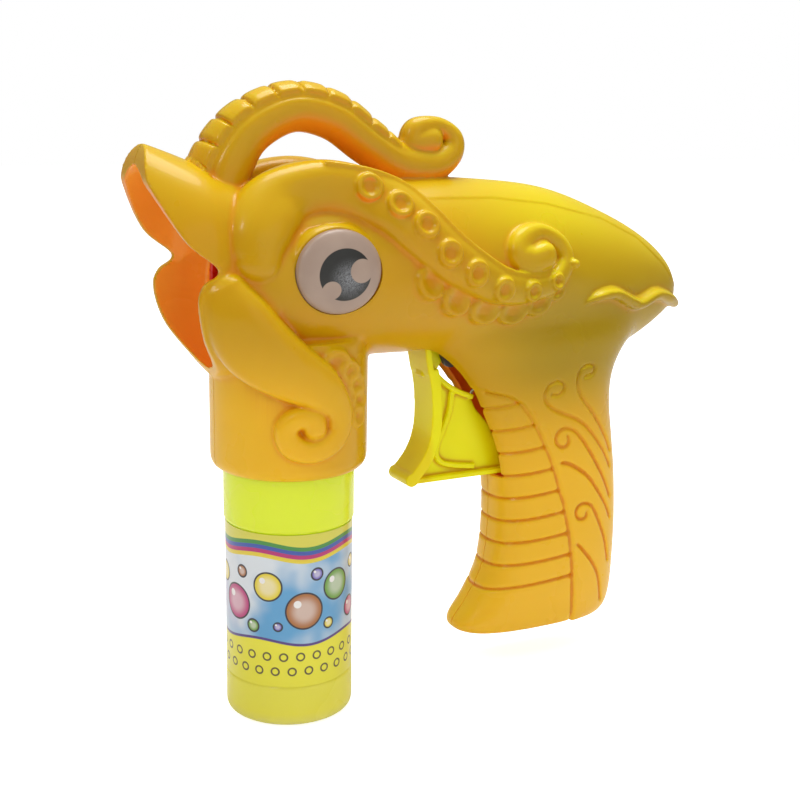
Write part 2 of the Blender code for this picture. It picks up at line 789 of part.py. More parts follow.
def throat_cutter(build):
    """Bore of the throat along X with the groove that holds the bubble ring."""
    groove = THROAT_RADIUS + RING_FLANGE_OVERLAP + CLEARANCE
    half = RING_FLANGE_THICKNESS / 2 + CLEARANCE
    middle = (MOUTH_BACK + CAVITY_FRONT) / 2
    reach = (CAVITY_FRONT - MOUTH_BACK) / 2 + 1.0
    profile = [
        (0.0, -reach), (THROAT_RADIUS, -reach), (THROAT_RADIUS, -half), (groove, -half),
        (groove, half), (THROAT_RADIUS, half), (THROAT_RADIUS, reach), (0.0, reach)]
    place = Matrix.Translation((middle, 0, THROAT_HEIGHT)) @ Matrix.Rotation(math.radians(90), 4, "Y")
    return build.add("throat", ring_of(profile, 20, place))


def socket_levels():
    """Underside of the socket's plate, top of the socket, middle of its flange."""
    plate = NECK_LEVEL + 2 * CLEARANCE + SEAL_THICKNESS
    top = plate + SOCKET_PLATE
    return plate, top, top - SOCKET_FLANGE_THICKNESS / 2


def cup_cutter(build):
    """Bore of the cup, with the groove for the socket's flange, open into the head."""
    bore = cup_bore_radius()
    groove = bore + SOCKET_FLANGE_OVERLAP
    _, top, flange = socket_levels()
    half = SOCKET_FLANGE_THICKNESS / 2 + CLEARANCE
    passage = BOTTLE_NECK_RADIUS
    profile = [
        (0.0, CUP_TOP), (passage, CUP_TOP), (passage, top + CLEARANCE), (groove, top + CLEARANCE),
        (groove, flange - half), (bore, flange - half), (bore, CUP_EDGE - 5.0), (0.0, CUP_EDGE - 5.0)]
    return build.add("cup_bore", ring_of(profile, TURN_STEPS))


def mouth_cutters(build):
    """Hollow of the mouth and everything in front of its rim."""
    hood = hood_body(MOUTH_WALL, 14, 1)
    lip = lip_body(MOUTH_WALL, 20, 1)
    limit = box((MOUTH_BACK, 0.0), (-FAR, FAR), (60.0, 200.0))
    hollow = build.add("mouth", hood)
    build.fuse(hollow, lip)
    build.cut(hollow, limit)
    rim = smooth(RIM, 3)
    ahead = RIM[2][0] - 25.0
    outline = rim + [(ahead, RIM[-1][1]), (ahead, RIM[0][1])]
    front = build.add("mouth_front", prism(outline, -FAR, FAR))
    return hollow, front


def groove_cutter(build):
    """Grip grooves: thin slices of a sleeve round the handle, in front of the border line."""
    bodies = []
    rows = smooth(HANDLE, 2)
    for i in range(GRIP_GROOVES):
        z = GRIP_GROOVE_START + i * GRIP_GROOVE_PITCH
        _, front, rear, half_width = row_at(rows, z)
        middle, reach = (front + rear) / 2, (rear - front) / 2
        border = row_at([(b, a) for a, b in GRIP_BORDER], z)[1]
        outside, inside = [], []
        for u, v in superellipse(HANDLE_POWER, 16):
            point = (middle + u * (reach - GRIP_GROOVE_DEPTH), v * (half_width - GRIP_GROOVE_DEPTH))
            if point[0] < border:
                inside.append(point)
                outside.append((middle + u * (reach + 4), v * (half_width + 4)))
        low, high = z - GRIP_GROOVE_WIDTH / 2, z + GRIP_GROOVE_WIDTH / 2
        outline = inside + outside[::-1]
        bodies.append(loft([[(x, y, level) for x, y in outline] for level in (low, high)]))
    return build.add("grip_grooves", join(bodies))


def screw_cutter(build):
    bodies = []
    head, shank = SCREW_HEAD_RADIUS + CLEARANCE, SCREW_RADIUS + CLEARANCE
    end = -SCREW_REACH - CLEARANCE
    for x, z, seat in SCREWS:
        profile = [
            (0.0, FAR), (head, FAR), (head, seat), (shank, seat), (shank, end), (0.0, end)]
        place = Matrix.Translation((x, 0, z)) @ Matrix.Rotation(math.radians(-90), 4, "X")
        bodies.append(ring_of(profile, 8, place))
    return build.add("screw_holes", join(bodies))


def eye_cutter(build):
    hole = ((EYE_X, EYE_HEIGHT), EYE_RADIUS + CLEARANCE)
    seats = [cylinder(*hole, side * EYE_SEAT, side * FAR, 32) for side in (-1, 1)]
    return build.add("eye_seats", join(seats))


def slot_cutter(build):
    half = TRIGGER_HALF_WIDTH + SLOT_PLAY
    return build.add("trigger_slot", box((SLOT_FRONT, SLOT_REAR), (-half, half), (SLOT_BOTTOM, SLOT_TOP)))


def pin_cutter(build):
    radius = TRIGGER_PIN_RADIUS + CLEARANCE
    end = right_plate_range()[1] + CLEARANCE
    return build.add("pin_seat", cylinder(TRIGGER_PIVOT, radius, layer(0)[0], end, BORE_SIDES))


def make_shells(build, material):
    mesh = skin_mesh(build)
    mesh.materials.clear()
    mesh.materials.append(material)
    tools = [cavity_cutter(build), *mouth_cutters(build), throat_cutter(build), cup_cutter(build)]
    tools += [slot_cutter(build), eye_cutter(build), screw_cutter(build), pin_cutter(build)]
    tools.append(groove_cutter(build))
    for name, side in (("left_shell", -1), ("right_shell", 1)):
        shell = bpy.data.objects.new(name, mesh)
        shell.parent = build.blower
        build.parts.objects.link(shell)
        away = sorted((-side * 60.0, side * PARTING_GAP / 2))
        for tool in (box((-80.0, 180.0), away, (-20.0, 220.0)), *tools):
            build.combine(shell, tool, "DIFFERENCE", "MANIFOLD")


def make_eyes(build, material):
    for name, side in (("left_eye", -1), ("right_eye", 1)):
        profile = [(0.0, EYE_RIM + EYE_DOME)]
        for i in range(1, 5):
            angle = math.radians(90 * i / 4)
            profile.append((EYE_RADIUS * math.sin(angle), EYE_RIM + EYE_DOME * math.cos(angle)))
        profile += [(EYE_RADIUS, 0.0), (0.0, 0.0)]
        eye = build.turned(name, profile, 24, material)
        eye.location = Vector((EYE_X, side * (EYE_SEAT + CLEARANCE), EYE_HEIGHT)) * MM
        eye.rotation_euler.x = -side * math.radians(90)


def make_screws(build, material):
    for number, (x, z, seat) in enumerate(SCREWS, 1):
        top = seat + CLEARANCE + SCREW_HEAD_THICKNESS
        profile = [
            (0.0, top), (SCREW_HEAD_RADIUS, top - SCREW_HEAD_THICKNESS * 0.5),
            (SCREW_HEAD_RADIUS, seat + CLEARANCE), (SCREW_RADIUS, seat + CLEARANCE),
            (SCREW_RADIUS, -SCREW_REACH + 1.5), (0.0, -SCREW_REACH)]
        screw = build.turned(f"screw_{number}", profile, 8, material)
        screw.location = Vector((x, 0, z)) * MM
        screw.rotation_euler.x = math.radians(-90)


def bottle_radii():
    """Radii of the panel under the label and of the foot."""
    panel = BOTTLE_BAND_RADIUS - BOTTLE_PANEL_STEP
    return panel, panel + BOTTLE_FOOT_STEP


def bottle_levels():
    """Heights of the neck's start, the shoulder and the lower edge of the band."""
    neck_start = BOTTLE_HEIGHT - BOTTLE_NECK_LENGTH
    shoulder = neck_start - BOTTLE_SHOULDER_LENGTH
    return neck_start, shoulder, shoulder - BOTTLE_BAND_LENGTH


def bottle_outside():
    panel, foot = bottle_radii()
    neck_start, shoulder, band = bottle_levels()
    profile = [
        (BOTTLE_NECK_RADIUS, BOTTLE_HEIGHT), (BOTTLE_NECK_RADIUS, neck_start),
        (BOTTLE_BAND_RADIUS - BOTTLE_SHOULDER_INSET, shoulder + BOTTLE_SHOULDER_RISE),
        (BOTTLE_BAND_RADIUS, shoulder), (BOTTLE_BAND_RADIUS, band), (panel, band - BOTTLE_PANEL_STEP),
        (panel, BOTTLE_FOOT_HEIGHT + BOTTLE_PANEL_STEP), (foot, BOTTLE_FOOT_HEIGHT)]
    centre = (foot - BOTTLE_FOOT_FILLET, BOTTLE_FOOT_FILLET)
    return profile + arc(centre, BOTTLE_FOOT_FILLET, 0, -90, 5) + [(0.0, 0.0)]


def bottle_inside():
    neck_start, shoulder, _ = bottle_levels()
    panel = bottle_radii()[0] - BOTTLE_WALL
    neck = BOTTLE_NECK_RADIUS - BOTTLE_WALL
    return [
        (0.0, BOTTLE_WALL), (panel - BOTTLE_FOOT_FILLET, BOTTLE_WALL),
        (panel, BOTTLE_WALL + BOTTLE_FOOT_FILLET), (panel, shoulder), (neck, neck_start),
        (neck, BOTTLE_HEIGHT)]


def make_bottle(build, bottle, label, rubber):
    outside, inside = bottle_outside(), bottle_inside()
    bm = bmesh.new()
    points = [bm.verts.new((r, 0.0, z)) for r, z in outside + inside]
    for i, low in enumerate(points):
        if i != len(outside) - 1:
            bm.edges.new((low, points[(i + 1) % len(points)]))
    obj = build.add("bottle", bm, bottle, frame=False)
    screw = obj.modifiers.new("turn", "SCREW")
    screw.steps = TURN_STEPS
    screw.render_steps = TURN_STEPS
    screw.use_merge_vertices = True
    screw.merge_threshold = 0.00001
    inner = bottle_radii()[0] + CLEARANCE
    margin = BOTTLE_PANEL_STEP + CLEARANCE
    high, low = bottle_levels()[2] - margin, BOTTLE_FOOT_HEIGHT + margin
    sleeve = [
        (inner + LABEL_THICKNESS, high), (inner + LABEL_THICKNESS, low), (inner, low), (inner, high)]
    build.turned("bottle_label", sleeve, TURN_STEPS, label, frame=False)
    low = BOTTLE_HEIGHT + CLEARANCE
    seal = [
        (BOTTLE_NECK_RADIUS - 0.3, low + SEAL_THICKNESS), (BOTTLE_NECK_RADIUS - 0.3, low),
        (SEAL_BORE_RADIUS, low), (SEAL_BORE_RADIUS, low + SEAL_THICKNESS)]
    build.turned("bottle_seal", seal, TURN_STEPS, rubber, frame=False)


def make_socket(build, socket, tube):
    plate, top, flange = socket_levels()
    bore = cup_bore_radius()
    skirt_in = BOTTLE_NECK_RADIUS + CLEARANCE
    skirt_out = skirt_in + SOCKET_WALL
    rim = bore + SOCKET_FLANGE_OVERLAP - CLEARANCE
    under = top - SOCKET_FLANGE_THICKNESS
    hole = DIP_TUBE_RADIUS + CLEARANCE
    foot = NECK_LEVEL - SOCKET_SKIRT_LENGTH
    profile = [
        (hole, top), (rim, top), (rim, under), (skirt_out, under), (skirt_out, foot),
        (skirt_in, foot), (skirt_in, plate), (hole, plate)]
    build.turned("bottle_socket", profile, TURN_STEPS, socket)
    collar = top + CLEARANCE
    end = collar + DIP_TUBE_COLLAR + DIP_TUBE_RISE
    dip = [
        (DIP_TUBE_RADIUS, end), (DIP_TUBE_RADIUS, collar + DIP_TUBE_COLLAR),
        (DIP_TUBE_COLLAR_RADIUS, collar + DIP_TUBE_COLLAR), (DIP_TUBE_COLLAR_RADIUS, collar),
        (DIP_TUBE_RADIUS, collar), (DIP_TUBE_RADIUS, DIP_TUBE_FOOT - build.lift),
        (DIP_TUBE_BORE, DIP_TUBE_FOOT - build.lift), (DIP_TUBE_BORE, end)]
    build.turned("dip_tube", dip, BORE_SIDES, tube)
    return end


def make_bubble_ring(build, material):
    """Red ring in the throat: a flanged sleeve with a spoked hub that holds the soap film."""
    middle = (MOUTH_BACK + CAVITY_FRONT) / 2
    outer = THROAT_RADIUS - CLEARANCE
    flange = THROAT_RADIUS + RING_FLANGE_OVERLAP
    half = RING_FLANGE_THICKNESS / 2
    front, back = MOUTH_BACK - 2.0, CAVITY_FRONT
    inner = outer - RING_WALL
    profile = [
        (outer - RING_CHAMFER, front - middle), (outer, front - middle + RING_CHAMFER), (outer, -half),
        (flange, -half), (flange, half), (outer, half), (outer, back - middle), (inner, back - middle),
        (inner, front - middle)]
    place = Matrix.Translation((middle, 0, THROAT_HEIGHT)) @ Matrix.Rotation(math.radians(90), 4, "Y")
    ring = build.add("bubble_ring", ring_of(profile, 20, place), material)
    depth = (front - middle + 0.6, front - middle + 3.0)
    hub = [(RING_HUB_RADIUS, depth[0]), (RING_HUB_RADIUS, depth[1]), (RING_HUB_RADIUS - 1.4, depth[1]),
           (RING_HUB_RADIUS - 1.4, depth[0])]
    spokes = build.add("ring_hub", ring_of(hub, 12, place))
    for i in range(RING_SPOKES):
        turn = Matrix.Rotation(2 * math.pi * i / RING_SPOKES, 4, "Z")
        half_width = RING_SPOKE_WIDTH / 2
        bar = bmesh.new()
        bmesh.ops.create_cube(bar, size=1.0)
        span = inner + RING_WALL / 2 - (RING_HUB_RADIUS - 0.7)
        reach = (inner + RING_WALL / 2 + RING_HUB_RADIUS - 0.7) / 2
        size = Matrix.Diagonal((span, 2 * half_width, (depth[1] - depth[0]) * 0.8, 1.0))
        where = place @ turn @ Matrix.Translation((reach, 0, (depth[0] + depth[1]) / 2)) @ size
        bmesh.ops.transform(bar, matrix=where, verts=bar.verts)
        build.fuse(spokes, bar)
    build.fuse(ring, spokes)


def make_gears(build, gear_material, metal):
    first, second, fan = gear_places()
    bore = AXLE_RADIUS + CLEARANCE
    left, right = left_plate_range(), right_plate_range()
    for name, centre, previous, following, pinion_layer in (
            ("gear_1", first, TRIGGER_PIVOT, second, 0), ("gear_2", second, first, fan, 1)):
        back = math.degrees(math.atan2(previous[1] - centre[1], previous[0] - centre[0]))
        ahead = math.degrees(math.atan2(following[1] - centre[1], following[0] - centre[0]))
        low, high = layer(pinion_layer)
        wheel_range = layer(pinion_layer + 1)
        origin = (centre[0], 0.0, centre[1])
        wheel = gear_body(centre, WHEEL_TEETH, ahead, True, wheel_range)
        gear = build.add(name, wheel, gear_material, origin)
        build.fuse(gear, gear_body(centre, PINION_TEETH, back, False, (low, wheel_range[0] + 0.5)))
        build.cut(gear, cylinder(centre, bore, low - 1, wheel_range[1] + 1, BORE_SIDES))
        start, end = left[0], right[1]
        if name == "gear_2":
            start, end = fan_case_range()[1] - FAN_BOSS_DEPTH + CLEARANCE, pump_range()[1]
        axle = cylinder(centre, AXLE_RADIUS, start, end, BORE_SIDES)
        build.add(name + "_axle", axle, metal, origin)
    back = math.degrees(math.atan2(second[1] - fan[1], second[0] - fan[0]))
    origin = (fan[0], 0.0, fan[1])
    teeth = gear_body(fan, PINION_TEETH, back, False, layer(2))
    pinion = build.add("fan_pinion", teeth, gear_material, origin)
    build.cut(pinion, cylinder(fan, bore, layer(2)[0] - 1, layer(2)[1] + 1, BORE_SIDES))


def make_plates(build, material):
    first, second, fan = gear_places()
    bore = AXLE_RADIUS + CLEARANCE
    reach = PLATE_LOBE_RADIUS - PLATE_LOBE_ROUNDING
    lobe = [(polar(TRIGGER_PIVOT, reach, bearing), PLATE_LOBE_ROUNDING) for bearing in PLATE_LOBE_BEARINGS]
    left = hull([(TRIGGER_PIVOT, PLATE_EAR_RADIUS), (first, PLATE_EAR_RADIUS), *lobe])
    right = hull([(first, PLATE_EAR_RADIUS), (second, PLATE_EAR_RADIUS), (fan, PLATE_EAR_RADIUS)])
    low, high = left_plate_range()
    plate = build.add("gear_plate_left", prism(left, low, high), material)
    pin_bore = TRIGGER_PIN_RADIUS + CLEARANCE
    holes = [(first, bore), (TRIGGER_PIVOT, pin_bore)]
    build.cut(plate, join([cylinder(*hole, low - 1, high + 1, BORE_SIDES) for hole in holes]))
    low, high = right_plate_range()
    plate = build.add("gear_plate_right", prism(right, low, high), material)
    holes = [(centre, bore) for centre in (first, second, fan)]
    build.cut(plate, join([cylinder(*hole, low - 1, high + 1, BORE_SIDES) for hole in holes]))


def fan_case_range():
    """Back wall and open rim of the fan case along Y."""
    back = layer(1)[0] - GEAR_SPACING
    front = back - FAN_CASE_WALL - 2 * FAN_RUNNING_GAP - FAN_WIDTH
    return front, back


def fan_case_outline(inset, outlet):
    _, _, fan = gear_places()
    radius = FAN_RADIUS + FAN_RUNNING_GAP + FAN_CASE_WALL - inset
    low, high = FAN_OUTLET
    return arc(fan, radius, -90, 90, 15) + [(outlet, high - inset), (outlet, low + inset)]


def make_fan(build, case_material, fan_material, metal):
    _, second, centre = gear_places()
    bore = AXLE_RADIUS + CLEARANCE
    front, back = fan_case_range()
    outlet = CAVITY_FRONT + CLEARANCE
    case = build.add("fan_housing", prism(fan_case_outline(0.0, outlet), front, back), case_material)
    build.fuse(case, cylinder(second, FAN_BOSS_RADIUS, back - FAN_BOSS_DEPTH - FAN_CASE_WALL, back, 12))
    build.cut(case, prism(fan_case_outline(FAN_CASE_WALL, outlet - 5), front - 1, back - FAN_CASE_WALL))
    build.cut(case, cylinder(centre, bore, back - FAN_CASE_WALL - 1, back + 1, BORE_SIDES))
    build.cut(case, cylinder(second, bore, back - FAN_BOSS_DEPTH, back + 1, BORE_SIDES))
    lid = (front - CLEARANCE - FAN_CASE_WALL, front - CLEARANCE)
    cover = build.add("fan_cover", prism(fan_case_outline(0.0, outlet), *lid), case_material)
    build.cut(cover, cylinder(centre, FAN_INLET_RADIUS, lid[0] - 1, lid[1] + 1, 24))
    half, reach = AXLE_RADIUS + 1.0, FAN_INLET_RADIUS + 1.0
    x, z = centre
    build.fuse(cover, box((x - half, x + half), lid, (z - reach, z + reach)))
    build.cut(cover, cylinder(centre, bore, lid[0] - 1, lid[1] + 1, BORE_SIDES))
    origin = (centre[0], 0.0, centre[1])
    disc = back - FAN_CASE_WALL - FAN_RUNNING_GAP
    fan = build.add("fan", cylinder(centre, FAN_RADIUS, disc - FAN_DISC, disc, 24), fan_material, origin)
    build.fuse(fan, cylinder(centre, FAN_HUB_RADIUS, disc - FAN_WIDTH, disc - 0.4, 12))
    blades = []
    for i in range(FAN_BLADES):
        blade = bmesh.new()
        bmesh.ops.create_cube(blade, size=1.0)
        inner = FAN_HUB_RADIUS + 1.6
        size = Matrix.Diagonal((FAN_RADIUS - 0.3 - inner, FAN_WIDTH - 0.4, FAN_BLADE_THICKNESS, 1.0))
        place = Matrix.Translation((centre[0], disc - 0.4 - (FAN_WIDTH - 0.4) / 2, centre[1]))
        turn = Matrix.Rotation(2 * math.pi * i / FAN_BLADES, 4, "Y")
        where = place @ turn @ Matrix.Translation(((FAN_RADIUS - 0.3 + inner) / 2, 0, 0)) @ size
        bmesh.ops.transform(blade, matrix=where, verts=blade.verts)
        blades.append(blade)
    build.fuse(fan, join(blades))
    build.cut(fan, cylinder(centre, bore, disc - FAN_WIDTH - 1, disc + 1, BORE_SIDES))
    axle = cylinder(centre, AXLE_RADIUS, lid[0], right_plate_range()[1], BORE_SIDES)
    build.add("fan_axle", axle, metal, origin)


def make_pump(build, rotor_material, hose_material, hose_start):
    _, centre, _ = gear_places()
    low, high = pump_range()
    outline = []
    steps = 8 * PUMP_ROTOR_LOBES
    for i in range(steps):
        angle = 360 * i / steps
        wave = math.cos(math.radians(angle * PUMP_ROTOR_LOBES))
        outline.append(polar(centre, PUMP_ROTOR_RADIUS - 0.9 + 0.9 * wave, angle))
    rotor = build.add("pump_rotor", prism(outline, low, high), rotor_material, (centre[0], 0.0, centre[1]))
    build.cut(rotor, cylinder(centre, AXLE_RADIUS + CLEARANCE, low - 1, high + 1, BORE_SIDES))
    y = (low + high) / 2
    y = max(y, right_plate_range()[1] + CLEARANCE + HOSE_RADIUS)
    loop = PUMP_ROTOR_RADIUS + CLEARANCE + HOSE_RADIUS
    start = hose_start + CLEARANCE
    route = [(0.0, 0.0, start), (0.0, 0.2, start + 2.0), (3.0, 4.0, start + 5.0), (12.0, 9.5, start + 8.5)]
    route.append((24.0, y - 0.6, start + 11.0))
    route += [(x, y, z) for x, z in arc(centre, loop, 255, 455, 9)]
    ring_back = CAVITY_FRONT + CLEARANCE
    tip = THROAT_RADIUS - CLEARANCE - RING_WALL / 2
    end = (ring_back, tip, THROAT_HEIGHT)
    route += [(26.0, y - 0.4, centre[1] + loop + 1.0), (8.0, y - 1.4, centre[1] + loop - 1.0)]
    route += [(end[0] + 6.0, end[1] + 0.4, end[2] + 0.6), (end[0] + 2.0, end[1], end[2]), end]
    hose = bent_tube([(*point, HOSE_RADIUS) for point in route], 1, 1)
    build.add("pump_hose", hose, hose_material)


def shifted(points, distance):
    """A line of points moved to its left by the distance."""
    result = []
    last = len(points) - 1
    for i, (x, z) in enumerate(points):
        (ax, az), (bx, bz) = points[max(i - 1, 0)], points[min(i + 1, last)]
        along = Vector((bx - ax, bz - az)).normalized()
        result.append((x - along.y * distance, z + along.x * distance))
    return result


def strip(points, thickness):
    """Outline of a band of even thickness to the left of a line of points."""
    return points + shifted(points, thickness)[::-1]


def make_trigger(build, material, metal):
    px, pz = TRIGGER_PIVOT
    first = gear_places()[0]
    bearing = math.degrees(math.atan2(first[1] - pz, first[0] - px))
    front = smooth(TRIGGER_FRONT, 2)
    top, rear = smooth(TRIGGER_TOP, 2), smooth(TRIGGER_REAR, 2)
    origin = (px, 0.0, pz)
    half = TRIGGER_WEB / 2
    inner = TRIGGER_RIB_THICKNESS / 2
    foot = TRIGGER_TOE[1] + inner
    web_outline = shifted(front, TRIGGER_PLATE / 2)[::-1] + shifted(top, -inner) + rear
    web_outline += [(rear[-1][0], foot), (TRIGGER_TOE[0] + inner, foot)]
    trigger = build.add("trigger", prism(web_outline, -half, half), material, origin)
    wide = TRIGGER_HALF_WIDTH
    build.fuse(trigger, prism(strip(front, TRIGGER_PLATE), -wide, wide))
    rib = TRIGGER_RIB / 2
    toe_x, toe_z = TRIGGER_TOE
    bottom = [(TRIGGER_FRONT[-1][0] + 1.2, toe_z + 0.9), (toe_x, toe_z), (rear[-1][0] - 0.2, toe_z)]
    build.fuse(trigger, prism(strip(bottom, TRIGGER_RIB_THICKNESS), -rib, rib))
    build.fuse(trigger, prism(strip(top[::-1], TRIGGER_RIB_THICKNESS), -rib, rib))
    curl = strip(smooth(TRIGGER_S_RIB, 3), TRIGGER_RIB_THICKNESS)
    low = rib - TRIGGER_CURL_STEP
    build.fuse(trigger, prism(curl, -low, low))
    arm_half = TRIGGER_ARM / 2
    stem = hull([(TRIGGER_PIVOT, TRIGGER_HUB_RADIUS), (TRIGGER_STEM, TRIGGER_STEM_RADIUS)], 16)
    build.fuse(trigger, prism(stem, -arm_half, arm_half))
    span = (bearing - SECTOR_TRAIL, bearing + SECTOR_LEAD)
    build.fuse(trigger, gear_body(TRIGGER_PIVOT, SECTOR_TEETH, bearing, True, layer(0), span))
    bore = TRIGGER_PIN_RADIUS + CLEARANCE
    build.cut(trigger, cylinder(TRIGGER_PIVOT, bore, -arm_half - 1, arm_half + 1, BORE_SIDES))
    ends = left_plate_range()[0], right_plate_range()[1]
    pin = cylinder(TRIGGER_PIVOT, TRIGGER_PIN_RADIUS, *ends, BORE_SIDES)
    build.add("trigger_pin", pin, metal, origin)


def make_spring(build, material):
    """Coil between the back of the trigger and the boss of the third screw."""
    x, z, _ = SCREWS[2]
    start = Vector((SPRING_FRONT[0], 0, SPRING_FRONT[1]))
    seat = Vector((x, 0, z))
    axis = (seat - start).normalized()
    length = (seat - start).length - SCREW_BOSS_RADIUS - CLEARANCE - SPRING_WIRE
    side = Vector((0, 1, 0))
    up = axis.cross(side)
    curve = bpy.data.curves.new("trigger_spring", "CURVE")
    curve.dimensions = "3D"
    curve.bevel_depth = SPRING_WIRE * MM
    curve.bevel_resolution = 1
    curve.use_fill_caps = True
    count = SPRING_TURNS * 8
    spline = curve.splines.new("POLY")
    spline.points.add(count)
    for i, point in enumerate(spline.points):
        angle = 2 * math.pi * SPRING_TURNS * i / count
        centre = start + axis * (SPRING_WIRE + length * i / count)
        place = centre + SPRING_RADIUS * (math.cos(angle) * side + math.sin(angle) * up)
        point.co = (*(place * MM), 1.0)
    coil = bpy.data.objects.new("trigger_spring", curve)
    coil.parent = build.blower
    curve.materials.append(material)
    build.parts.objects.link(coil)
    gap = length / SPRING_TURNS - 2 * SPRING_WIRE
    print(f"least gap between turns of the spring: {gap:.2f} mm")


def main():
    clear_scene()
    build = Builder()
    yellow = plastic("shell_plastic", (0.88, 0.68, 0.16), 0.28)
    trigger_yellow = plastic("trigger_plastic", (0.90, 0.88, 0.10), 0.35)
    white = plastic("eye_plastic", (0.86, 0.82, 0.80), 0.25)
    red = plastic("ring_plastic", (0.85, 0.12, 0.04), 0.3)
    grey = plastic("gearbox_plastic", (0.23, 0.22, 0.21), 0.5)
    gear_white = plastic("gear_plastic", (0.90, 0.90, 0.87), 0.4)
    clear = plastic("bottle_plastic", (0.84, 0.88, 0.34), 0.2)
    paper = plastic("label_film", (0.80, 0.87, 0.93), 0.35)
    rubber = plastic("seal_rubber", (0.75, 0.74, 0.70), 0.7)
    hose = plastic("hose_vinyl", (0.90, 0.90, 0.85), 0.3)
    steel = plastic("steel", (0.70, 0.70, 0.70), 0.3, 1.0)
    make_shells(build, yellow)
    make_eyes(build, white)
    make_screws(build, steel)
    make_bottle(build, clear, paper, rubber)
    hose_start = make_socket(build, gear_white, hose)
    make_bubble_ring(build, red)
    make_gears(build, gear_white, steel)
    make_plates(build, grey)
    make_fan(build, grey, gear_white, steel)
    make_pump(build, gear_white, hose, hose_start)
    make_trigger(build, trigger_yellow, steel)
    make_spring(build, steel)


main()
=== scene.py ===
"""Looks of the octopus bubble blower: fine mouldings, finishes, light and camera."""

import math

import bmesh
import bpy
import numpy as np
from mathutils import Matrix, Vector
from mathutils.bvhtree import BVHTree
from mathutils.kdtree import KDTree


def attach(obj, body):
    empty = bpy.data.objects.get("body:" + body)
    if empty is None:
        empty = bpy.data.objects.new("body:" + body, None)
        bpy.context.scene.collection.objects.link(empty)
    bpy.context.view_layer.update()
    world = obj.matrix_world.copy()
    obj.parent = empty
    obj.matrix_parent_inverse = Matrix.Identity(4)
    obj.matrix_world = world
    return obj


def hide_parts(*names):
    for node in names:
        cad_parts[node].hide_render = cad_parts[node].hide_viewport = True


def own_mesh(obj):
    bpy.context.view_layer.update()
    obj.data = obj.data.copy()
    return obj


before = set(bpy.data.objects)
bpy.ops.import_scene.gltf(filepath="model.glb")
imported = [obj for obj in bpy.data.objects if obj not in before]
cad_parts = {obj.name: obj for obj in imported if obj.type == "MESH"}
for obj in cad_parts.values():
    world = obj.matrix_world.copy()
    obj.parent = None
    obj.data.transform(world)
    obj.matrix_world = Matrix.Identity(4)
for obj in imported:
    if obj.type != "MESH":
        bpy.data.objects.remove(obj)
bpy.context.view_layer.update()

MM = 0.001

# Sizes shared with the CAD, in millimetres
CLEARANCE = 0.3
WALL = 2.2
PARTING_GAP = 0.3
FAR = 40.0
CUP_RADIUS = 22.5
CUP_EDGE = 73.5
CUP_TOP = 112.0
CUP_BORE = 20.3
CUP_FILLET = 3.5
MANTLE_WAIST_SHARE = 0.46
MANTLE_POWER = 1.85
MANTLE_SHOULDER_SHARE = 0.9
CAVITY_FRONT = -10.5
CAVITY_REAR = 121.0
HANDLE_POWER = 2.6
HOOD_EDGE = 130.5
MOUTH_WALL = 1.9
HOOD_TIP = (-44.0, -30.0)
HOOD_TIP_DEPTH = 4.5
MOUTH_BACK = -17.0
THROAT_HEIGHT = 127.0
THROAT_RADIUS = 13.0
THROAT_MIDDLE = (MOUTH_BACK + CAVITY_FRONT) / 2
EYE_X = 5.0
EYE_HEIGHT = 131.5
EYE_RADIUS = 12.3
EYE_SEAT = 21.6
EYE_DOME = 3.2
TRIGGER_PIVOT = (50.0, 110.5)
TRIGGER_PIN_RADIUS = 1.8
TRIGGER_PIN_RANGE = (-1.2, 9.9)
SCREW_RADIUS = 1.3
SCREW_HEAD_RADIUS = 2.6
SCREW_HEAD_THICKNESS = 1.7
SCREW_REACH = 8.0
SCREW_BOSS_RADIUS = 3.8
POST_RADIUS = 3.4
# Groove in the throat and flange of the ring in it: radius, half width
RING_GROOVE = (15.5, 1.5)
RING_FLANGE = (15.2, 1.2)
# Bores of the cup for the bottle's neck and for the socket's rim, and where that rim lies
CUP_NECK_BORE = 13.6
CUP_RIM_BORE = 21.1
CUP_RIM_RANGE = (96.1, 99.3)

# Eyes, lower and less round than in the CAD: rim, height as a share of the width
EYE_RIM = 1.0
EYE_OVAL = 0.92
# Swelling of the skin round an eye: width at its top and at its foot, drop
SOCKET_RIM = 0.4
SOCKET_FOOT = 1.8
SOCKET_DROP = 2.4
# Slot that the trigger moves in, its floor higher than in the CAD
SLOT = ((36.5, 76.0), (-6.6, 6.6), (62.4, 107.0))
# Ranges beyond every side of the part
WHOLE_X = (-80.0, 180.0)
WHOLE_SIDE = 60.0
WHOLE_Z = (-20.0, 220.0)
BEFORE_MOUTH = -75.0

# Detail of the fine mouldings
CORE_VOXEL = 0.8
SKIN_VOXEL = 0.42
SHELL_TRIANGLES = 180000
CREASE_ROUNDS = 24
HOLLOW_ROUNDS = 4
JUNCTION_ROUNDS = 60
# Points of a shell that lie farther than this from the skin belong to its inside
SKIN_REACH = 1.0

# Mantle and head: x, top, bottom, half width
MANTLE = [
    (-22.0, 152.0, 109.0, 19.5), (-8.0, 153.5, 104.5, 22.5), (8.0, 154.5, 104.0, 24.0),
    (28.0, 155.0, 104.0, 23.0), (57.0, 154.0, 103.0, 20.5), (83.0, 151.0, 101.0, 18.0),
    (106.0, 143.0, 98.0, 13.5), (122.0, 135.0, 103.0, 8.8), (132.0, 127.0, 109.5, 4.8),
    (136.5, 119.5, 114.0, 1.6),
]
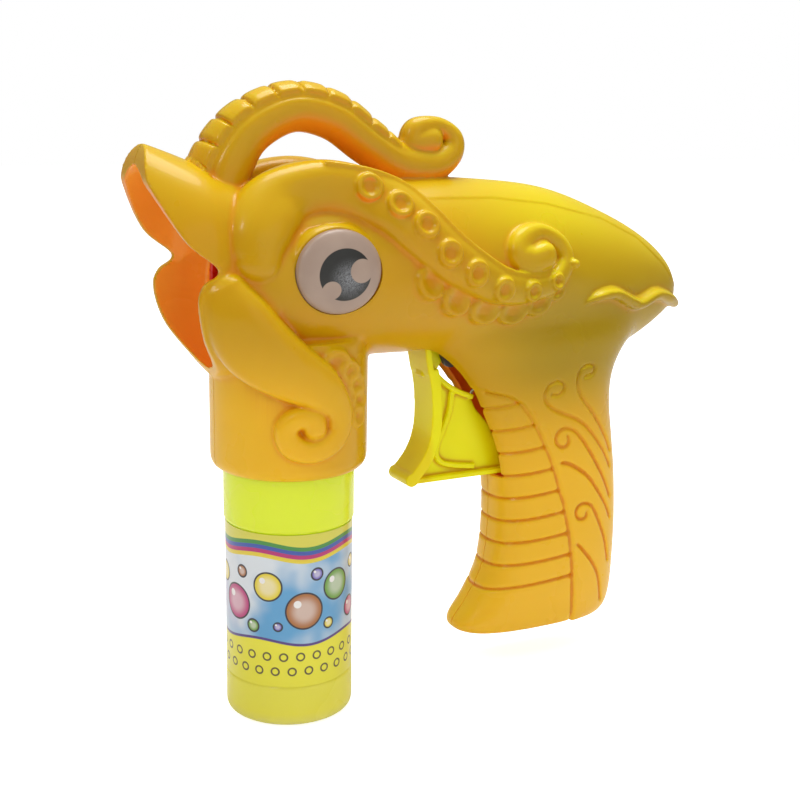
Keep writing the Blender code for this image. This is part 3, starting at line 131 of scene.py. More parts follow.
# Handle: z, front, rear, half width
HANDLE = [
    (11.5, 58.0, 109.4, 11.2), (13.0, 55.4, 112.0, 12.0), (16.0, 55.8, 113.6, 12.7),
    (22.0, 60.4, 114.4, 13.2), (32.0, 65.8, 114.5, 13.5), (45.0, 67.6, 114.2, 13.8),
    (60.0, 67.2, 113.0, 14.0), (72.0, 64.6, 111.3, 14.2), (82.0, 60.2, 109.8, 14.5),
    (90.0, 56.4, 109.6, 15.0), (96.0, 52.0, 111.2, 15.5), (101.0, 46.8, 114.0, 16.0),
    (106.0, 40.0, 118.0, 16.5), (112.0, 36.0, 121.0, 15.0),
]
# Upper half of the mouth: x, top, half width at its lower edge, power of its arch
HOOD = [
    (-46.0, 165.8, 18.2, 1.5), (-40.0, 164.0, 20.2, 1.6), (-34.0, 161.8, 20.6, 2.0),
    (-28.0, 159.4, 20.2, 2.5), (-23.0, 157.0, 18.6, 2.8), (-14.0, 154.0, 17.0, 3.0),
]
# Lower half of the mouth: x, centre height, radius
LIP = [
    (-37.0, 124.8, 19.8), (-30.0, 124.3, 20.4), (-26.0, 123.6, 20.9), (-21.0, 122.5, 21.6),
    (-12.0, 120.0, 21.8),
]
# Side view of the rim: x, z
RIM = [
    (-36.5, 169.0), (-41.5, 163.5), (-43.5, 157.0), (-42.3, 152.0), (-35.6, 140.0),
    (-27.4, 132.8), (-31.5, 128.9), (-33.0, 124.0), (-30.8, 114.5), (-25.4, 105.5), (-22.5, 100.0),
]
# Arm over the eye: x, z, depth of its middle under the skin, half width, half thickness
SIDE_ARM = [
    (-16.4, 134.2, 2.8, 6.4, 5.8), (-15.4, 140.2, 2.6, 8.6, 7.0), (-11.2, 146.6, 1.4, 9.2, 7.2),
    (-4.0, 150.4, -0.2, 8.8, 6.8), (5.2, 152.0, -1.2, 8.4, 6.4), (14.4, 150.6, -1.2, 8.3, 6.0),
    (23.0, 147.2, -0.8, 8.0, 5.6), (30.2, 141.4, -0.4, 7.6, 5.2), (37.9, 134.8, 0.0, 7.0, 4.8),
    (46.4, 129.6, 0.0, 6.2, 4.6), (56.3, 125.1, 0.1, 5.4, 4.3), (67.0, 123.7, 0.2, 4.4, 3.8),
    (76.2, 125.4, 0.2, 3.5, 3.2), (81.0, 130.6, 0.2, 2.9, 2.7), (79.0, 136.2, 0.1, 2.6, 2.5),
    (72.4, 139.2, 0.0, 2.7, 2.5), (66.0, 137.4, 0.0, 3.7, 3.0), (63.9, 133.8, 0.0, 4.3, 3.3),
    (67.2, 131.6, -0.3, 4.2, 3.5), (72.6, 132.8, -0.6, 4.2, 3.8),
]
# Share of the skin's own lean that the arm follows
ARM_LEAN = 0.4
# Suckers: x, z, radius
SUCKERS = [
    (15.6, 153.4, 3.9), (23.6, 148.8, 3.9), (30.4, 143.3, 3.9), (37.0, 135.5, 4.0), (45.8, 129.6, 4.0),
    (55.6, 124.4, 3.8), (66.4, 123.2, 3.2), (75.6, 125.4, 2.6),
]
SUCKER_BEAD = (82.6, 130.0, 1.5)
SUCKER_BEAD_LIFT = 0.5
# Thin lip on the arm's upper edge: its first and last knot, radius, shares of the arm's width and thickness
ARM_LIP_KNOTS = (4, 13)
ARM_LIP_RADIUS = 0.85
ARM_LIP_OUT = (0.9, 0.6)
# Section of a sucker: share of its radius, height over the skin
SUCKER_SECTION = [
    (0.0, 0.25), (0.36, 0.28), (0.5, 0.6), (0.6, 1.05), (0.7, 1.25), (0.84, 1.2), (0.94, 0.9), (1.0, 0.2),
    (1.0, -1.5), (0.0, -1.5),
]
# Section of a scallop: share of its reach, height over the skin
SCALLOP_SECTION = [
    (0.0, 0.25), (0.35, 0.35), (0.62, 0.95), (0.8, 1.15), (0.93, 0.95), (1.0, 0.3), (1.0, -2.5), (0.0, -2.5),
]
SCALLOP_TILT = 15.0
# Scallops under the arm: x, z, half length, half height, turn in degrees
SCALLOPS = [
    (32.6, 127.0, 5.2, 4.2, -42.0), (42.0, 121.4, 5.4, 4.4, -30.0), (52.8, 117.7, 5.5, 4.2, -14.0),
    (63.0, 116.6, 5.2, 3.9, 2.0), (71.8, 118.4, 4.5, 3.3, 20.0), (78.2, 121.8, 2.9, 2.3, 42.0),
]
# Wavy fin toward the tail: x, z, half height
FIN = [
    (90.5, 117.4, 0.4), (94.5, 119.2, 1.4), (101.5, 119.6, 1.8), (108.5, 116.8, 1.9), (113.5, 115.4, 1.9),
    (122.0, 117.4, 1.9), (129.0, 115.8, 1.9), (135.0, 113.4, 1.7),
]
FIN_THICKNESS = 1.7
# Lobe of the lower lip: place, normal, half width, half thickness; the arm on the cup grows out of it
LIP_LOBE = [
    ((-25.6, -17.8, 126.6), (-0.3, -0.95, 0.05), 6.4, 5.0),
    ((-22.6, -19.2, 120.2), (-0.35, -0.93, -0.05), 8.6, 6.0),
    ((-17.4, -19.4, 112.4), (-0.4, -0.88, -0.2), 9.6, 6.6),
]
# Arm on the cup: x, z, half width, half thickness
CUP_ARM = [
    (-9.2, 106.0, 8.4, 6.6), (-1.0, 100.6, 6.5, 4.6), (4.2, 94.6, 4.5, 3.9), (4.9, 88.8, 3.8, 3.6),
    (1.8, 84.6, 3.4, 3.4), (-3.2, 83.0, 3.2, 3.3), (-8.0, 84.8, 3.5, 3.4), (-9.4, 89.2, 3.2, 3.4),
    (-6.6, 92.4, 3.1, 3.5), (-2.8, 91.8, 3.2, 3.7), (-2.2, 89.4, 3.2, 3.8),
]
CUP_SCALLOPS = [
    (4.8, 107.4, 4.6, 3.4, -20.0), (9.2, 104.0, 4.2, 3.2, -38.0), (11.8, 99.8, 4.0, 3.0, -55.0),
    (13.0, 95.2, 3.8, 2.8, -70.0), (12.6, 90.6, 3.4, 2.6, -86.0),
]
# Arch on the head: x, z, radius
ARCH = [
    (-21.0, 150.0, 8.6), (-18.8, 158.8, 8.2), (-11.9, 167.9, 7.2), (0.5, 173.4, 6.4), (13.0, 171.2, 6.2),
    (24.0, 164.0, 6.0), (34.0, 158.6, 5.7), (44.5, 158.0, 4.8), (50.6, 161.2, 3.9), (51.6, 165.8, 2.9),
    (46.6, 169.2, 2.3), (39.4, 168.2, 3.2), (38.4, 164.8, 3.8), (43.6, 165.0, 4.2),
]
# Middles of the pads on its back: x, z
PADS = [
    (-27.4, 154.6), (-26.4, 160.8), (-22.6, 167.6), (-17.0, 173.4), (-9.3, 177.9), (-1.3, 180.0),
    (6.6, 179.2), (14.4, 176.6), (21.4, 172.6), (27.0, 168.8), (31.6, 165.8), (35.4, 163.6),
]
PAD_HEIGHT = 1.2
PAD_POWER = 6
PAD_EDGE = (0.74, 0.94)
# Line round the pads: its depth and its width as a lean
PAD_LINE = (0.25, 0.1)
# Reach of the pads before the first, behind the last and over the arch, and the run in which they fade
PAD_BEFORE = 3.0
PAD_BEHIND = 2.0
PAD_OVER = 1.5
PAD_FADE = 14.0
# Part of the skin that is searched for pads: least height, half width, run behind the last pad
PAD_ZONE = (148.0, 9.5, 6.0)
# Line where the grip begins: z, x
GRIP_BORDER = [
    (10.0, 94.6), (15.2, 94.2), (20.1, 93.6), (25.1, 93.2), (30.0, 92.8), (34.1, 92.3), (38.3, 91.6),
    (42.5, 90.8), (46.6, 89.8), (50.8, 88.6), (54.2, 87.7), (57.6, 86.2), (61.7, 84.9), (65.7, 83.4),
    (69.8, 81.6), (73.5, 79.6), (77.2, 77.7), (80.2, 75.8), (83.2, 74.0), (87.0, 70.8), (89.4, 66.6),
    (90.8, 60.0),
]
# Grip: its top, its front, the height of its step, where the step rises and the run in which it fades
GRIP_TOP = 93.0
GRIP_FRONT = 52.0
GRIP_STEP = 0.45
GRIP_STEP_EDGE = (-0.3, 0.8)
GRIP_FADE = 2.0
GRIP_GROOVES = 9
GRIP_GROOVE_START = 28.8
GRIP_GROOVE_PITCH = 7.33
GRIP_GROOVE_SLOPE = 0.08
GRIP_SLOPE_GROWTH = 0.015
GRIP_GROOVE_END = 0.2
# Engraved lines: depth, half width
GRIP_LINE = (0.75, 0.6)
GRIP_GROOVE = (0.7, 0.5)
SWIRL_LINE = (0.8, 0.55)
# Distance that the lines keep from the middle plane, and the front and top of the swirls
LINE_SIDE = 4.0
SWIRL_FRONT = 74.0
SWIRL_TOP = 104.0
# Engraved swirls on the handle: x, z
SWIRLS = [
    [(92.7, 94.1), (95.4, 94.5), (96.5, 96.0), (95.9, 97.3), (93.8, 97.8), (91.5, 97.1), (90.2, 95.3),
     (89.9, 93.2), (90.5, 90.5), (92.2, 87.5), (95.3, 84.2), (98.5, 80.6), (101.5, 76.6), (104.2, 72.6),
     (106.6, 68.4)],
    [(80.8, 89.5), (82.6, 89.1), (84.0, 89.6), (85.0, 91.0), (84.8, 92.5), (83.2, 93.4), (81.1, 93.3),
     (79.1, 92.2), (78.2, 90.3), (78.2, 88.4), (79.4, 86.4), (81.7, 84.7), (85.1, 83.1), (89.0, 81.5),
     (93.0, 79.3), (96.8, 76.0), (100.5, 71.9), (103.9, 67.7), (106.6, 63.2)],
    [(87.7, 75.7), (88.2, 74.0), (87.4, 72.5), (85.6, 72.2), (84.0, 73.2), (83.3, 74.8), (83.7, 76.7),
     (85.1, 77.9), (87.4, 78.1), (90.1, 77.0), (92.5, 74.9), (95.5, 71.3), (98.7, 66.9), (102.0, 62.1),
     (104.5, 58.1), (107.2, 53.0)],
    [(86.0, 67.0), (87.8, 66.8), (90.1, 65.8), (92.9, 64.1), (96.2, 61.7), (99.3, 58.3), (102.6, 54.1),
     (105.2, 50.6), (107.8, 45.8)],
    [(96.9, 49.5), (96.6, 48.0), (95.0, 47.4), (93.2, 48.1), (92.5, 49.9), (93.0, 51.5), (94.6, 52.5),
     (96.9, 52.3), (99.0, 51.0), (101.3, 47.3), (103.6, 43.1), (105.8, 38.5), (107.1, 34.7), (108.2, 31.0)],
    [(93.9, 39.0), (95.7, 37.3), (98.3, 34.5), (100.7, 31.6), (102.8, 28.4), (104.3, 24.9), (105.4, 21.0),
     (106.6, 17.0)],
]
# Edge of the top panel: x, z
PANEL_EDGE = [
    (30.0, 149.4), (59.4, 149.0), (78.4, 146.9), (101.7, 141.6), (116.9, 135.1), (128.5, 126.2),
    (138.0, 116.0),
]
# Panel: its range along the part, where its taper ends, lowest point, height of its step and where it rises
PANEL_X = (32.0, 137.0)
PANEL_TAPER = 44.0
PANEL_LOW = 110.0
PANEL_STEP = 0.25
PANEL_STEP_EDGE = (-0.3, 0.4)
# Soft junction of mantle and handle: where its smoothing begins, is full, fades and ends
JUNCTION_X = (34.0, 46.0, 124.0, 134.0)
JUNCTION_Z = (86.0, 97.0, 118.0, 128.0)
# Screws: x, z, distance of the head's seat from the middle plane
SCREWS = [
    (88.0, 22.0, 7.0), (105.0, 58.0, 7.0), (92.0, 92.0, 8.5), (108.0, 122.0, 6.0), (30.0, 108.5, 9.0),
    (18.0, 148.5, 7.0),
]
# Inside of the mouth: width of the cut edge that keeps the outer colour, reach past the back,
# share of the wall at which the inside begins
RIM_EDGE = 0.3
INSIDE_REACH = 2.5
INSIDE_SHARE = 0.7
# Swelling round the screw that lies close to the lower edge
SCREW_COLLAR = (30.0, 10.0, 108.2)
SCREW_COLLAR_RADII = (6.0, 4.2, 4.6)
# Posts that hold the gear plates: x, z, start, end along y
POSTS = [
    (57.03, 127.07, -FAR, -4.7), (50.0, 110.5, -FAR, -4.7),
    (57.03, 127.07, 9.9, FAR), (50.0, 110.5, 3.8, FAR),
]


# Curves and bodies

def rotation(degrees, axis):
    return Matrix.Rotation(math.radians(degrees), 4, axis)


def transformed(bm, matrix):
    bmesh.ops.transform(bm, matrix=matrix, verts=bm.verts)
    return bm


def move_to(verts, places):
    for vert, place in zip(verts, places):
        vert.co = place


def along(rows, per_span):
    """Rows of numbers on a smooth curve through the given rows."""
    rows = np.array(rows, float)
    last = len(rows) - 1
    result = []
    for i in range(last):
        a, b = rows[max(i - 1, 0)], rows[i]
        c, d = rows[i + 1], rows[min(i + 2, last)]
        for k in range(per_span):
            t = k / per_span
            result.append(0.5 * (2 * b + (c - a) * t + (2 * a - 5 * b + 4 * c - d) * t ** 2
                                 + (3 * b - a - 3 * c + d) * t ** 3))
    result.append(rows[last])
    return np.array(result)


def superellipse(power, count):
    """Points of a unit superellipse, counter-clockwise."""
    angles = 2 * np.pi * (np.arange(count) + 0.5) / count
    c, s = np.cos(angles), np.sin(angles)
    return np.stack([np.sign(c) * np.abs(c) ** (2 / power), np.sign(s) * np.abs(s) ** (2 / power)], -1)


def lofted(rings):
    """Closed body that a ring is extruded through, ring after ring."""
    bm = bmesh.new()
    row = bmesh.ops.create_circle(bm, cap_ends=True, segments=len(rings[0]), radius=1.0)["verts"]
    move_to(row, rings[0])
    for ring in rings[1:]:
        edges = [bm.edges.get(pair) for pair in zip(row, row[1:] + row[:1])]
        made = bmesh.ops.extrude_edge_only(bm, edges=edges)["geom"]
        old = set(row)
        fresh = {}
        for item in made:
            if isinstance(item, bmesh.types.BMVert):
                for edge in item.link_edges:
                    if edge.other_vert(item) in old:
                        fresh[edge.other_vert(item)] = item
        row = [fresh[vert] for vert in row]
        move_to(row, ring)
    edges = [bm.edges.get(pair) for pair in zip(row, row[1:] + row[:1])]
    bmesh.ops.contextual_create(bm, geom=edges)
    bmesh.ops.recalc_face_normals(bm, faces=bm.faces)
    return bm


def prism(outline, y_from, y_to):
    """Outline in the XZ plane, extruded along Y."""
    return lofted([[(x, y, z) for x, z in outline] for y in (y_from, y_to)])


def circle(centre, radius, count, start=0.0, span=360.0):
    angles = np.radians(start + span * np.arange(count) / count)
    return [(centre[0] + radius * math.cos(a), centre[1] + radius * math.sin(a)) for a in angles]


def peg(centre, radius, y_from, y_to, sides=32):
    return prism(circle(centre, radius, sides), y_from, y_to)


def block(x_range, y_range, z_range):
    (left, right), (low, high) = x_range, z_range
    return prism([(left, low), (right, low), (right, high), (left, high)], *y_range)


def spun(profile, steps, place=Matrix()):
    """Open profile (radius, height) whose ends lie on the axis, or a closed ring profile, spun about Z."""
    bm = bmesh.new()
    closed = profile[0][0] > 0
    verts = [bm.verts.new((r, 0.0, z)) for r, z in profile]
    pairs = list(zip(verts, verts[1:]))
    if closed:
        pairs.append((verts[-1], verts[0]))
    edges = [bm.edges.new(pair) for pair in pairs]
    bmesh.ops.spin(bm, geom=verts + edges, cent=(0, 0, 0), axis=(0, 0, 1), angle=2 * math.pi,
                   steps=steps, use_merge=True)
    bmesh.ops.remove_doubles(bm, verts=bm.verts, dist=0.0005)
    bmesh.ops.recalc_face_normals(bm, faces=bm.faces)
    return transformed(bm, place)


def ball(place, radii):
    bm = bmesh.new()
    bmesh.ops.create_uvsphere(bm, u_segments=32, v_segments=20, radius=1.0)
    return transformed(bm, Matrix.Translation(place) @ Matrix.Diagonal((*radii, 1.0)))


def ribbon(knots, per_span=10, sides=40, power=2.3):
    """Band with rounded ends through knots of place, normal, half width and half thickness."""
    rows = along([(*place, *normal, wide, thick) for place, normal, wide, thick in knots], per_span)
    places = rows[:, :3]
    steps = np.gradient(places, axis=0)
    unit = superellipse(power, sides)
    rings = []

    def ring(index, shift, scale):
        ahead = Vector(steps[index]).normalized()
        across = ahead.cross(Vector(rows[index, 3:6])).normalized()
        out = across.cross(ahead)
        wide, thick = rows[index, 6:8]
        centre = Vector(places[index]) + ahead * shift * min(wide, thick)
        return [centre + across * (u * wide * scale) + out * (v * thick * scale) for u, v in unit]

    ends = [(math.sin(a), math.cos(a)) for a in np.radians((80, 60, 40, 20))]
    for shift, scale in ends:
        rings.append(ring(0, -shift, scale))
    for index in range(len(rows)):
        rings.append(ring(index, 0.0, 1.0))
    for shift, scale in reversed(ends):
        rings.append(ring(len(rows) - 1, shift, scale))
    return lofted(rings)


def joined(bodies):
    """All bodies in one mesh, still overlapping."""
    result = bmesh.new()
    for body in bodies:
        mesh = bpy.data.meshes.new("body")
        body.to_mesh(mesh)
        body.free()
        result.from_mesh(mesh)
        bpy.data.meshes.remove(mesh)
    return result


def mirrored(bm):
    copy = bm.copy()
    bmesh.ops.scale(copy, vec=(1, -1, 1), verts=copy.verts)
    bmesh.ops.reverse_faces(copy, faces=copy.faces)
    return copy


def new_object(bm, name="temporary"):
    mesh = bpy.data.meshes.new(name)
    bm.to_mesh(mesh)
    bm.free()
    obj = bpy.data.objects.new(name, mesh)
    bpy.context.scene.collection.objects.link(obj)
    return obj


def discard(obj):
    mesh = obj.data
    bpy.data.objects.remove(obj)
    bpy.data.meshes.remove(mesh)


def evaluated(obj):
    """The object's mesh with its modifiers, as a new body; the object goes away."""
    bpy.context.view_layer.update()
    mesh = bpy.data.meshes.new_from_object(obj.evaluated_get(bpy.context.evaluated_depsgraph_get()))
    bm = bmesh.new()
    bm.from_mesh(mesh)
    bpy.data.meshes.remove(mesh)
    discard(obj)
    return bm


def melted(bodies, voxel, rounds, factor=0.5):
    """Bodies melted into one skin whose creases are rounded by smoothing."""
    obj = new_object(joined(bodies))
    remesh = obj.modifiers.new("melt", "REMESH")
    remesh.mode = "VOXEL"
    remesh.voxel_size = voxel
    if rounds:
        ease = obj.modifiers.new("ease", "SMOOTH")
        ease.iterations = rounds
        ease.factor = factor
    return evaluated(obj)


def combined(body, tools, operation):
    """Body after Booleans with the tools, one by one."""
    obj = new_object(body)
    helpers = []
    for tool in tools:
        helper = new_object(tool.copy(), "tool")
        helpers.append(helper)
        modifier = obj.modifiers.new("cut", "BOOLEAN")
        modifier.operation = operation
        modifier.solver = "MANIFOLD"
        modifier.object = helper
    result = evaluated(obj)
    for helper in helpers:
        discard(helper)
    return result


def placed(name, bm, material, body, *nodes, slot=None, sharp=40.0):
    """A shown piece in metres that rides on a body and stands for the CAD nodes."""
    bmesh.ops.scale(bm, vec=(MM, MM, MM), verts=bm.verts)
    obj = new_object(bm, name)
    obj.data.shade_smooth()
    obj.data.set_sharp_from_angle(angle=math.radians(sharp))
    obj.data.materials.clear()
    obj.data.materials.append(material)
    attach(obj, body)
    if nodes:
        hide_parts(*nodes)
    return obj


# The octopus

MANTLE_ROWS = along(MANTLE, 6)
# Share of the height at which a normal keeps its lean
NORMAL_SHOULDER = 0.82


def mantle_side(x, z, shoulder=MANTLE_SHOULDER_SHARE):
    """Distance of the mantle's skin from the middle plane."""
    top, bottom, half_width = (np.interp(x, MANTLE_ROWS[:, 0], MANTLE_ROWS[:, k]) for k in (1, 2, 3))
    middle = bottom + MANTLE_WAIST_SHARE * (top - bottom)
    height = top - middle if z > middle else middle - bottom
    share = min(abs(z - middle) / height, shoulder)
    return half_width * (1 - share ** MANTLE_POWER) ** (1 / MANTLE_POWER)


def mantle_normal(x, z):
    """Outward normal of the left side, at most as steep as its shoulder."""
    step = 0.5

    def side(dx, dz):
        return mantle_side(x + dx, z + dz, NORMAL_SHOULDER)

    lean = side(step, 0.0) - side(-step, 0.0)
    rise = side(0.0, step) - side(0.0, -step)
    return Vector((-lean, -2 * step, -rise)).normalized()


def mantle_body(rows, inset, sides):
    rings = []
    for x, top, bottom, half_width in rows:
        middle = bottom + MANTLE_WAIST_SHARE * (top - bottom)
        ring = []
        for u, v in superellipse(MANTLE_POWER, sides):
            height = top - middle if v > 0 else middle - bottom
            ring.append((x, u * (half_width - inset), middle + v * (height - inset)))
        rings.append(ring)
    return lofted(rings)


def handle_body(rows, inset, sides):
    rings = []
    for z, front, rear, half_width in rows:
        middle, reach = (front + rear) / 2, (rear - front) / 2 - inset
        unit = superellipse(HANDLE_POWER, sides)
        rings.append([(middle + u * reach, v * (half_width - inset), z) for u, v in unit])
    return lofted(rings)


def hood_body(inset, half_sides, per_span, tip=0.0):
    """Upper half of the mouth; its top is lowered by the tip's depth in front."""
    rings = []
    for x, top, half_width, power in along(HOOD, per_span):
        top -= tip * float(ramp(np.array(x), HOOD_TIP[1], HOOD_TIP[0]))
        ring = []
        for i in range(half_sides + 1):
            angle = math.pi * i / half_sides
            rise = math.sin(angle) ** (2 / power) if 0 < i < half_sides else 0.0
            height = HOOD_EDGE + (top - inset - HOOD_EDGE) * rise
            ring.append((x, (half_width - inset) * math.cos(angle), height))
        rings.append(ring)
    return lofted(rings)


def lip_body(inset, sides, per_span):
    rings = []
    for x, height, radius in along(LIP, per_span):
        rings.append([(x, y, z) for y, z in circle((0, height), radius - inset, sides)])
    return lofted(rings)


def cup_body():
    count = 8
    span = -90.0 * count / (count - 1)
    corner = circle((CUP_RADIUS - CUP_FILLET, CUP_EDGE + CUP_FILLET), CUP_FILLET, count, 0.0, span)
    return spun([(0.0, CUP_TOP), (CUP_RADIUS, CUP_TOP), *corner, (0.0, CUP_EDGE)], 96)


def on_cup(x, z):
    """Place and normal on the cup's left wall."""
    y = -math.sqrt(CUP_RADIUS ** 2 - x ** 2)
    return Vector((x, y, z)), Vector((x, y, 0)).normalized()


def on_mantle(x, z):
    return Vector((x, -mantle_side(x, z), z)), mantle_normal(x, z)


def petal(place, normal, half_length, half_height, turn, tilt):
    """Dished lobe on a skin, its long side turned in the view from the left and its lower edge lifted."""
    ahead = Vector((math.cos(math.radians(turn)), 0, math.sin(math.radians(turn))))
    up = normal.cross(ahead).normalized()
    axes = Matrix((up.cross(normal), up, normal)).transposed()
    lift = Matrix.Rotation(math.radians(-tilt), 3, "X")
    size = Matrix.Diagonal((half_length, half_height, 1.0))
    return spun(SCALLOP_SECTION, 48, Matrix.Translation(place) @ (axes @ lift @ size).to_4x4())


def side_forms():
    """What the left side carries; the right side has its mirror image."""
    knots = []
    for x, z, depth, wide, thick in SIDE_ARM:
        place = Vector((x, -mantle_side(x, z) + depth, z))
        normal = mantle_normal(x, z)
        normal.z *= ARM_LEAN
        knots.append((place, normal.normalized(), wide, thick))
    bodies = [ribbon(knots, power=2.5)]
    lip = []
    first, last = ARM_LIP_KNOTS
    aside, above = ARM_LIP_OUT
    for before, knot, after in zip(knots[first - 1:], knots[first:last], knots[first + 1:]):
        place, normal, wide, thick = knot
        across = normal.cross(after[0] - before[0]).normalized()
        middle = place + across * (wide * aside) + normal * (thick * above)
        lip.append((middle, normal, ARM_LIP_RADIUS, ARM_LIP_RADIUS))
    bodies.append(ribbon(lip, sides=12))
    for x, z, half_length, half_height, turn in SCALLOPS:
        bodies.append(petal(*on_mantle(x, z), half_length, half_height, turn, SCALLOP_TILT))
    fin = []
    for x, z, half_height in FIN:
        place, normal = on_mantle(x, z)
        fin.append((place, normal, half_height, half_height * FIN_THICKNESS))
    bodies.append(ribbon(fin, sides=16))
    arm = []
    for place, normal, wide, thick in LIP_LOBE:
        arm.append((Vector(place), Vector(normal).normalized(), wide, thick))
    for x, z, wide, thick in CUP_ARM:
        place, normal = on_cup(x, z)
        arm.append((place, normal, wide, thick))
    bodies.append(ribbon(arm, power=2.6))
    for x, z, half_length, half_height, turn in CUP_SCALLOPS:
        bodies.append(petal(*on_cup(x, z), half_length, half_height, turn, -SCALLOP_TILT))
    return bodies


def arch_form():
    knots = [(Vector((x, 0, z)), Vector((0, -1, 0)), radius, radius) for x, z, radius in ARCH]
    return ribbon(knots, power=2.0)


def sucker_forms(tree):
    """Buttons that lie on the arm, and the bead at its tip."""
    bodies = []

    def landing(x, z):
        return tree.ray_cast(Vector((x, -WHOLE_SIDE, z)), Vector((0, 1, 0)))[:2]

    for x, z, radius in SUCKERS:
        place, normal = landing(x, z)
        turn = normal.to_track_quat("Z", "Y").to_matrix().to_4x4()
        profile = [(share * radius, height) for share, height in SUCKER_SECTION]
        bodies.append(spun(profile, 48, Matrix.Translation(place) @ turn))
    x, z, radius = SUCKER_BEAD
    place, normal = landing(x, z)
    bodies.append(ball(place + normal * SUCKER_BEAD_LIFT, (radius, radius, radius)))
    return bodies


def distance_to_line(points, line):
    """Least distance of points to a line of points, all in one plane."""
    best = np.full(len(points), 1e9)
    for a, b in zip(line, line[1:]):
        run = b - a
        share = np.clip((points - a) @ run / max(run @ run, 1e-9), 0, 1)
        best = np.minimum(best, np.hypot(*(points - a - share[:, None] * run).T))
    return best


def ramp(values, low, high):
    t = np.clip((values - low) / (high - low), 0, 1)
    return t * t * (3 - 2 * t)


def plateau(values, start, full, fade, end):
    """Rises from start to full and falls from fade to end."""
    return ramp(values, start, full) * ramp(end - values, 0, end - fade)


def carved(away, line):
    """Depth of an engraved line at a distance from its middle."""
    depth, half_width = line
    return depth * np.exp(-(away / half_width) ** 2)


def pad_height(co):
    """Height of the pads on the arch at each point."""
    least_height, half_width, behind = PAD_ZONE
    end = PADS[-1][0] + behind
    path = along(ARCH, 12)
    path = path[:np.argmax(path[:, 0] > end)]
    run = np.gradient(path[:, :2], axis=0)
    run /= np.hypot(*run.T)[:, None]
    length = np.concatenate([[0.0], np.cumsum(np.hypot(*np.diff(path[:, :2], axis=0).T))])
    places = np.array(PADS)
    nearest = [np.argmin(np.hypot(*(path[:, :2] - place).T)) for place in places]
    middles = length[nearest]
    result = np.zeros(len(co))
    x, y, z = co.T
    chosen = np.flatnonzero((z > least_height) & (np.abs(y) < half_width) & (x < end))
    points = co[chosen]
    flat = points[:, [0, 2]]
    steps = flat[:, None, :] - path[None, :, :2]
    index = np.argmin(np.hypot(steps[:, :, 0], steps[:, :, 1]), axis=1)
    offset = flat - path[index, :2]
    ahead = run[index]
    out = (offset * np.stack([-ahead[:, 1], ahead[:, 0]], -1)).sum(1)
    place = length[index] + (offset * ahead).sum(1)
    lean = np.arctan2(np.abs(points[:, 1]), out)
    near = np.hypot(out, points[:, 1]) < path[index, 2] + PAD_OVER
    phase = np.interp(place, middles, np.arange(len(middles)))
    share = 2 * np.abs(phase - np.round(phase))
    last = middles[-1] + PAD_BEHIND
    inside = (place > middles[0] - PAD_BEFORE) & (place < last)
    fade = ramp(last - place, 0.0, PAD_FADE)
    pillow = (1 - share ** PAD_POWER) * (1 - ramp(lean, *PAD_EDGE))
    border = carved(lean - PAD_EDGE[1] - PAD_LINE[1], PAD_LINE)
    result[chosen] = near * inside * fade * (PAD_HEIGHT * pillow - border)
    return result


def points_of(bm):
    return np.array([vert.co for vert in bm.verts])


def normals_of(bm):
    bm.normal_update()
    return np.array([vert.normal for vert in bm.verts])


def engrave(bm):
    """Moves the skin's points along their normals for lines, steps and pads."""
    co, normals = points_of(bm), normals_of(bm)
    x, side, z = co[:, 0], np.abs(co[:, 1]), co[:, 2]
    flat = co[:, [0, 2]]
    border = np.array(GRIP_BORDER)
    ahead = np.interp(z, border[:, 0], border[:, 1]) - x
    on_handle = (z < GRIP_TOP) & (x > GRIP_FRONT)
    beside = side > LINE_SIDE
    depth = on_handle * beside * carved(distance_to_line(flat, border[:, ::-1]), GRIP_LINE)
    depth += on_handle * GRIP_STEP * ramp(ahead, *GRIP_STEP_EDGE) * ramp(GRIP_TOP - z, 0, GRIP_FADE)
    for i in range(GRIP_GROOVES):
        slope = GRIP_GROOVE_SLOPE + GRIP_SLOPE_GROWTH * i
        level = GRIP_GROOVE_START + i * GRIP_GROOVE_PITCH - slope * ahead
        depth += on_handle * (ahead > GRIP_GROOVE_END) * carved(z - level, GRIP_GROOVE)
    swirling = np.flatnonzero((x > SWIRL_FRONT) & (z < SWIRL_TOP) & beside)
    for swirl in SWIRLS:
        depth[swirling] += carved(distance_to_line(flat[swirling], along(swirl, 5)), SWIRL_LINE)
    panel = np.array(PANEL_EDGE)
    above = z - np.interp(x, panel[:, 0], panel[:, 1])
    on_panel = (x > PANEL_X[0]) & (x < PANEL_X[1]) & (z > PANEL_LOW)
    taper = ramp(x, PANEL_X[0], PANEL_TAPER)
    depth -= on_panel * taper * PANEL_STEP * ramp(above, *PANEL_STEP_EDGE)
    depth -= pad_height(co)
    move_to(bm.verts, co - normals * depth[:, None])
    return bm


def neighbour_mean(values, pairs, counts):
    total = np.zeros_like(values)
    for k in range(values.shape[1]):
        total[:, k] = np.bincount(pairs[:, 0], values[pairs[:, 1], k], len(values))
        total[:, k] += np.bincount(pairs[:, 1], values[pairs[:, 0], k], len(values))
    return total / counts[:, None]


def edge_pairs(bm):
    """Ends of the edges and the number of edges at each point."""
    bm.verts.index_update()
    pairs = np.array([(edge.verts[0].index, edge.verts[1].index) for edge in bm.edges])
    return pairs, np.maximum(np.bincount(pairs.ravel(), minlength=len(bm.verts)), 1)


def eased(bm, rounds):
    """Smooths the junction of mantle and handle into one soft form."""
    co = points_of(bm)
    weight = plateau(co[:, 2], *JUNCTION_Z) * plateau(co[:, 0], *JUNCTION_X)
    pairs, counts = edge_pairs(bm)
    for _ in range(rounds):
        co = co + 0.5 * weight[:, None] * (neighbour_mean(co, pairs, counts) - co)
    move_to(bm.verts, co)
    return bm


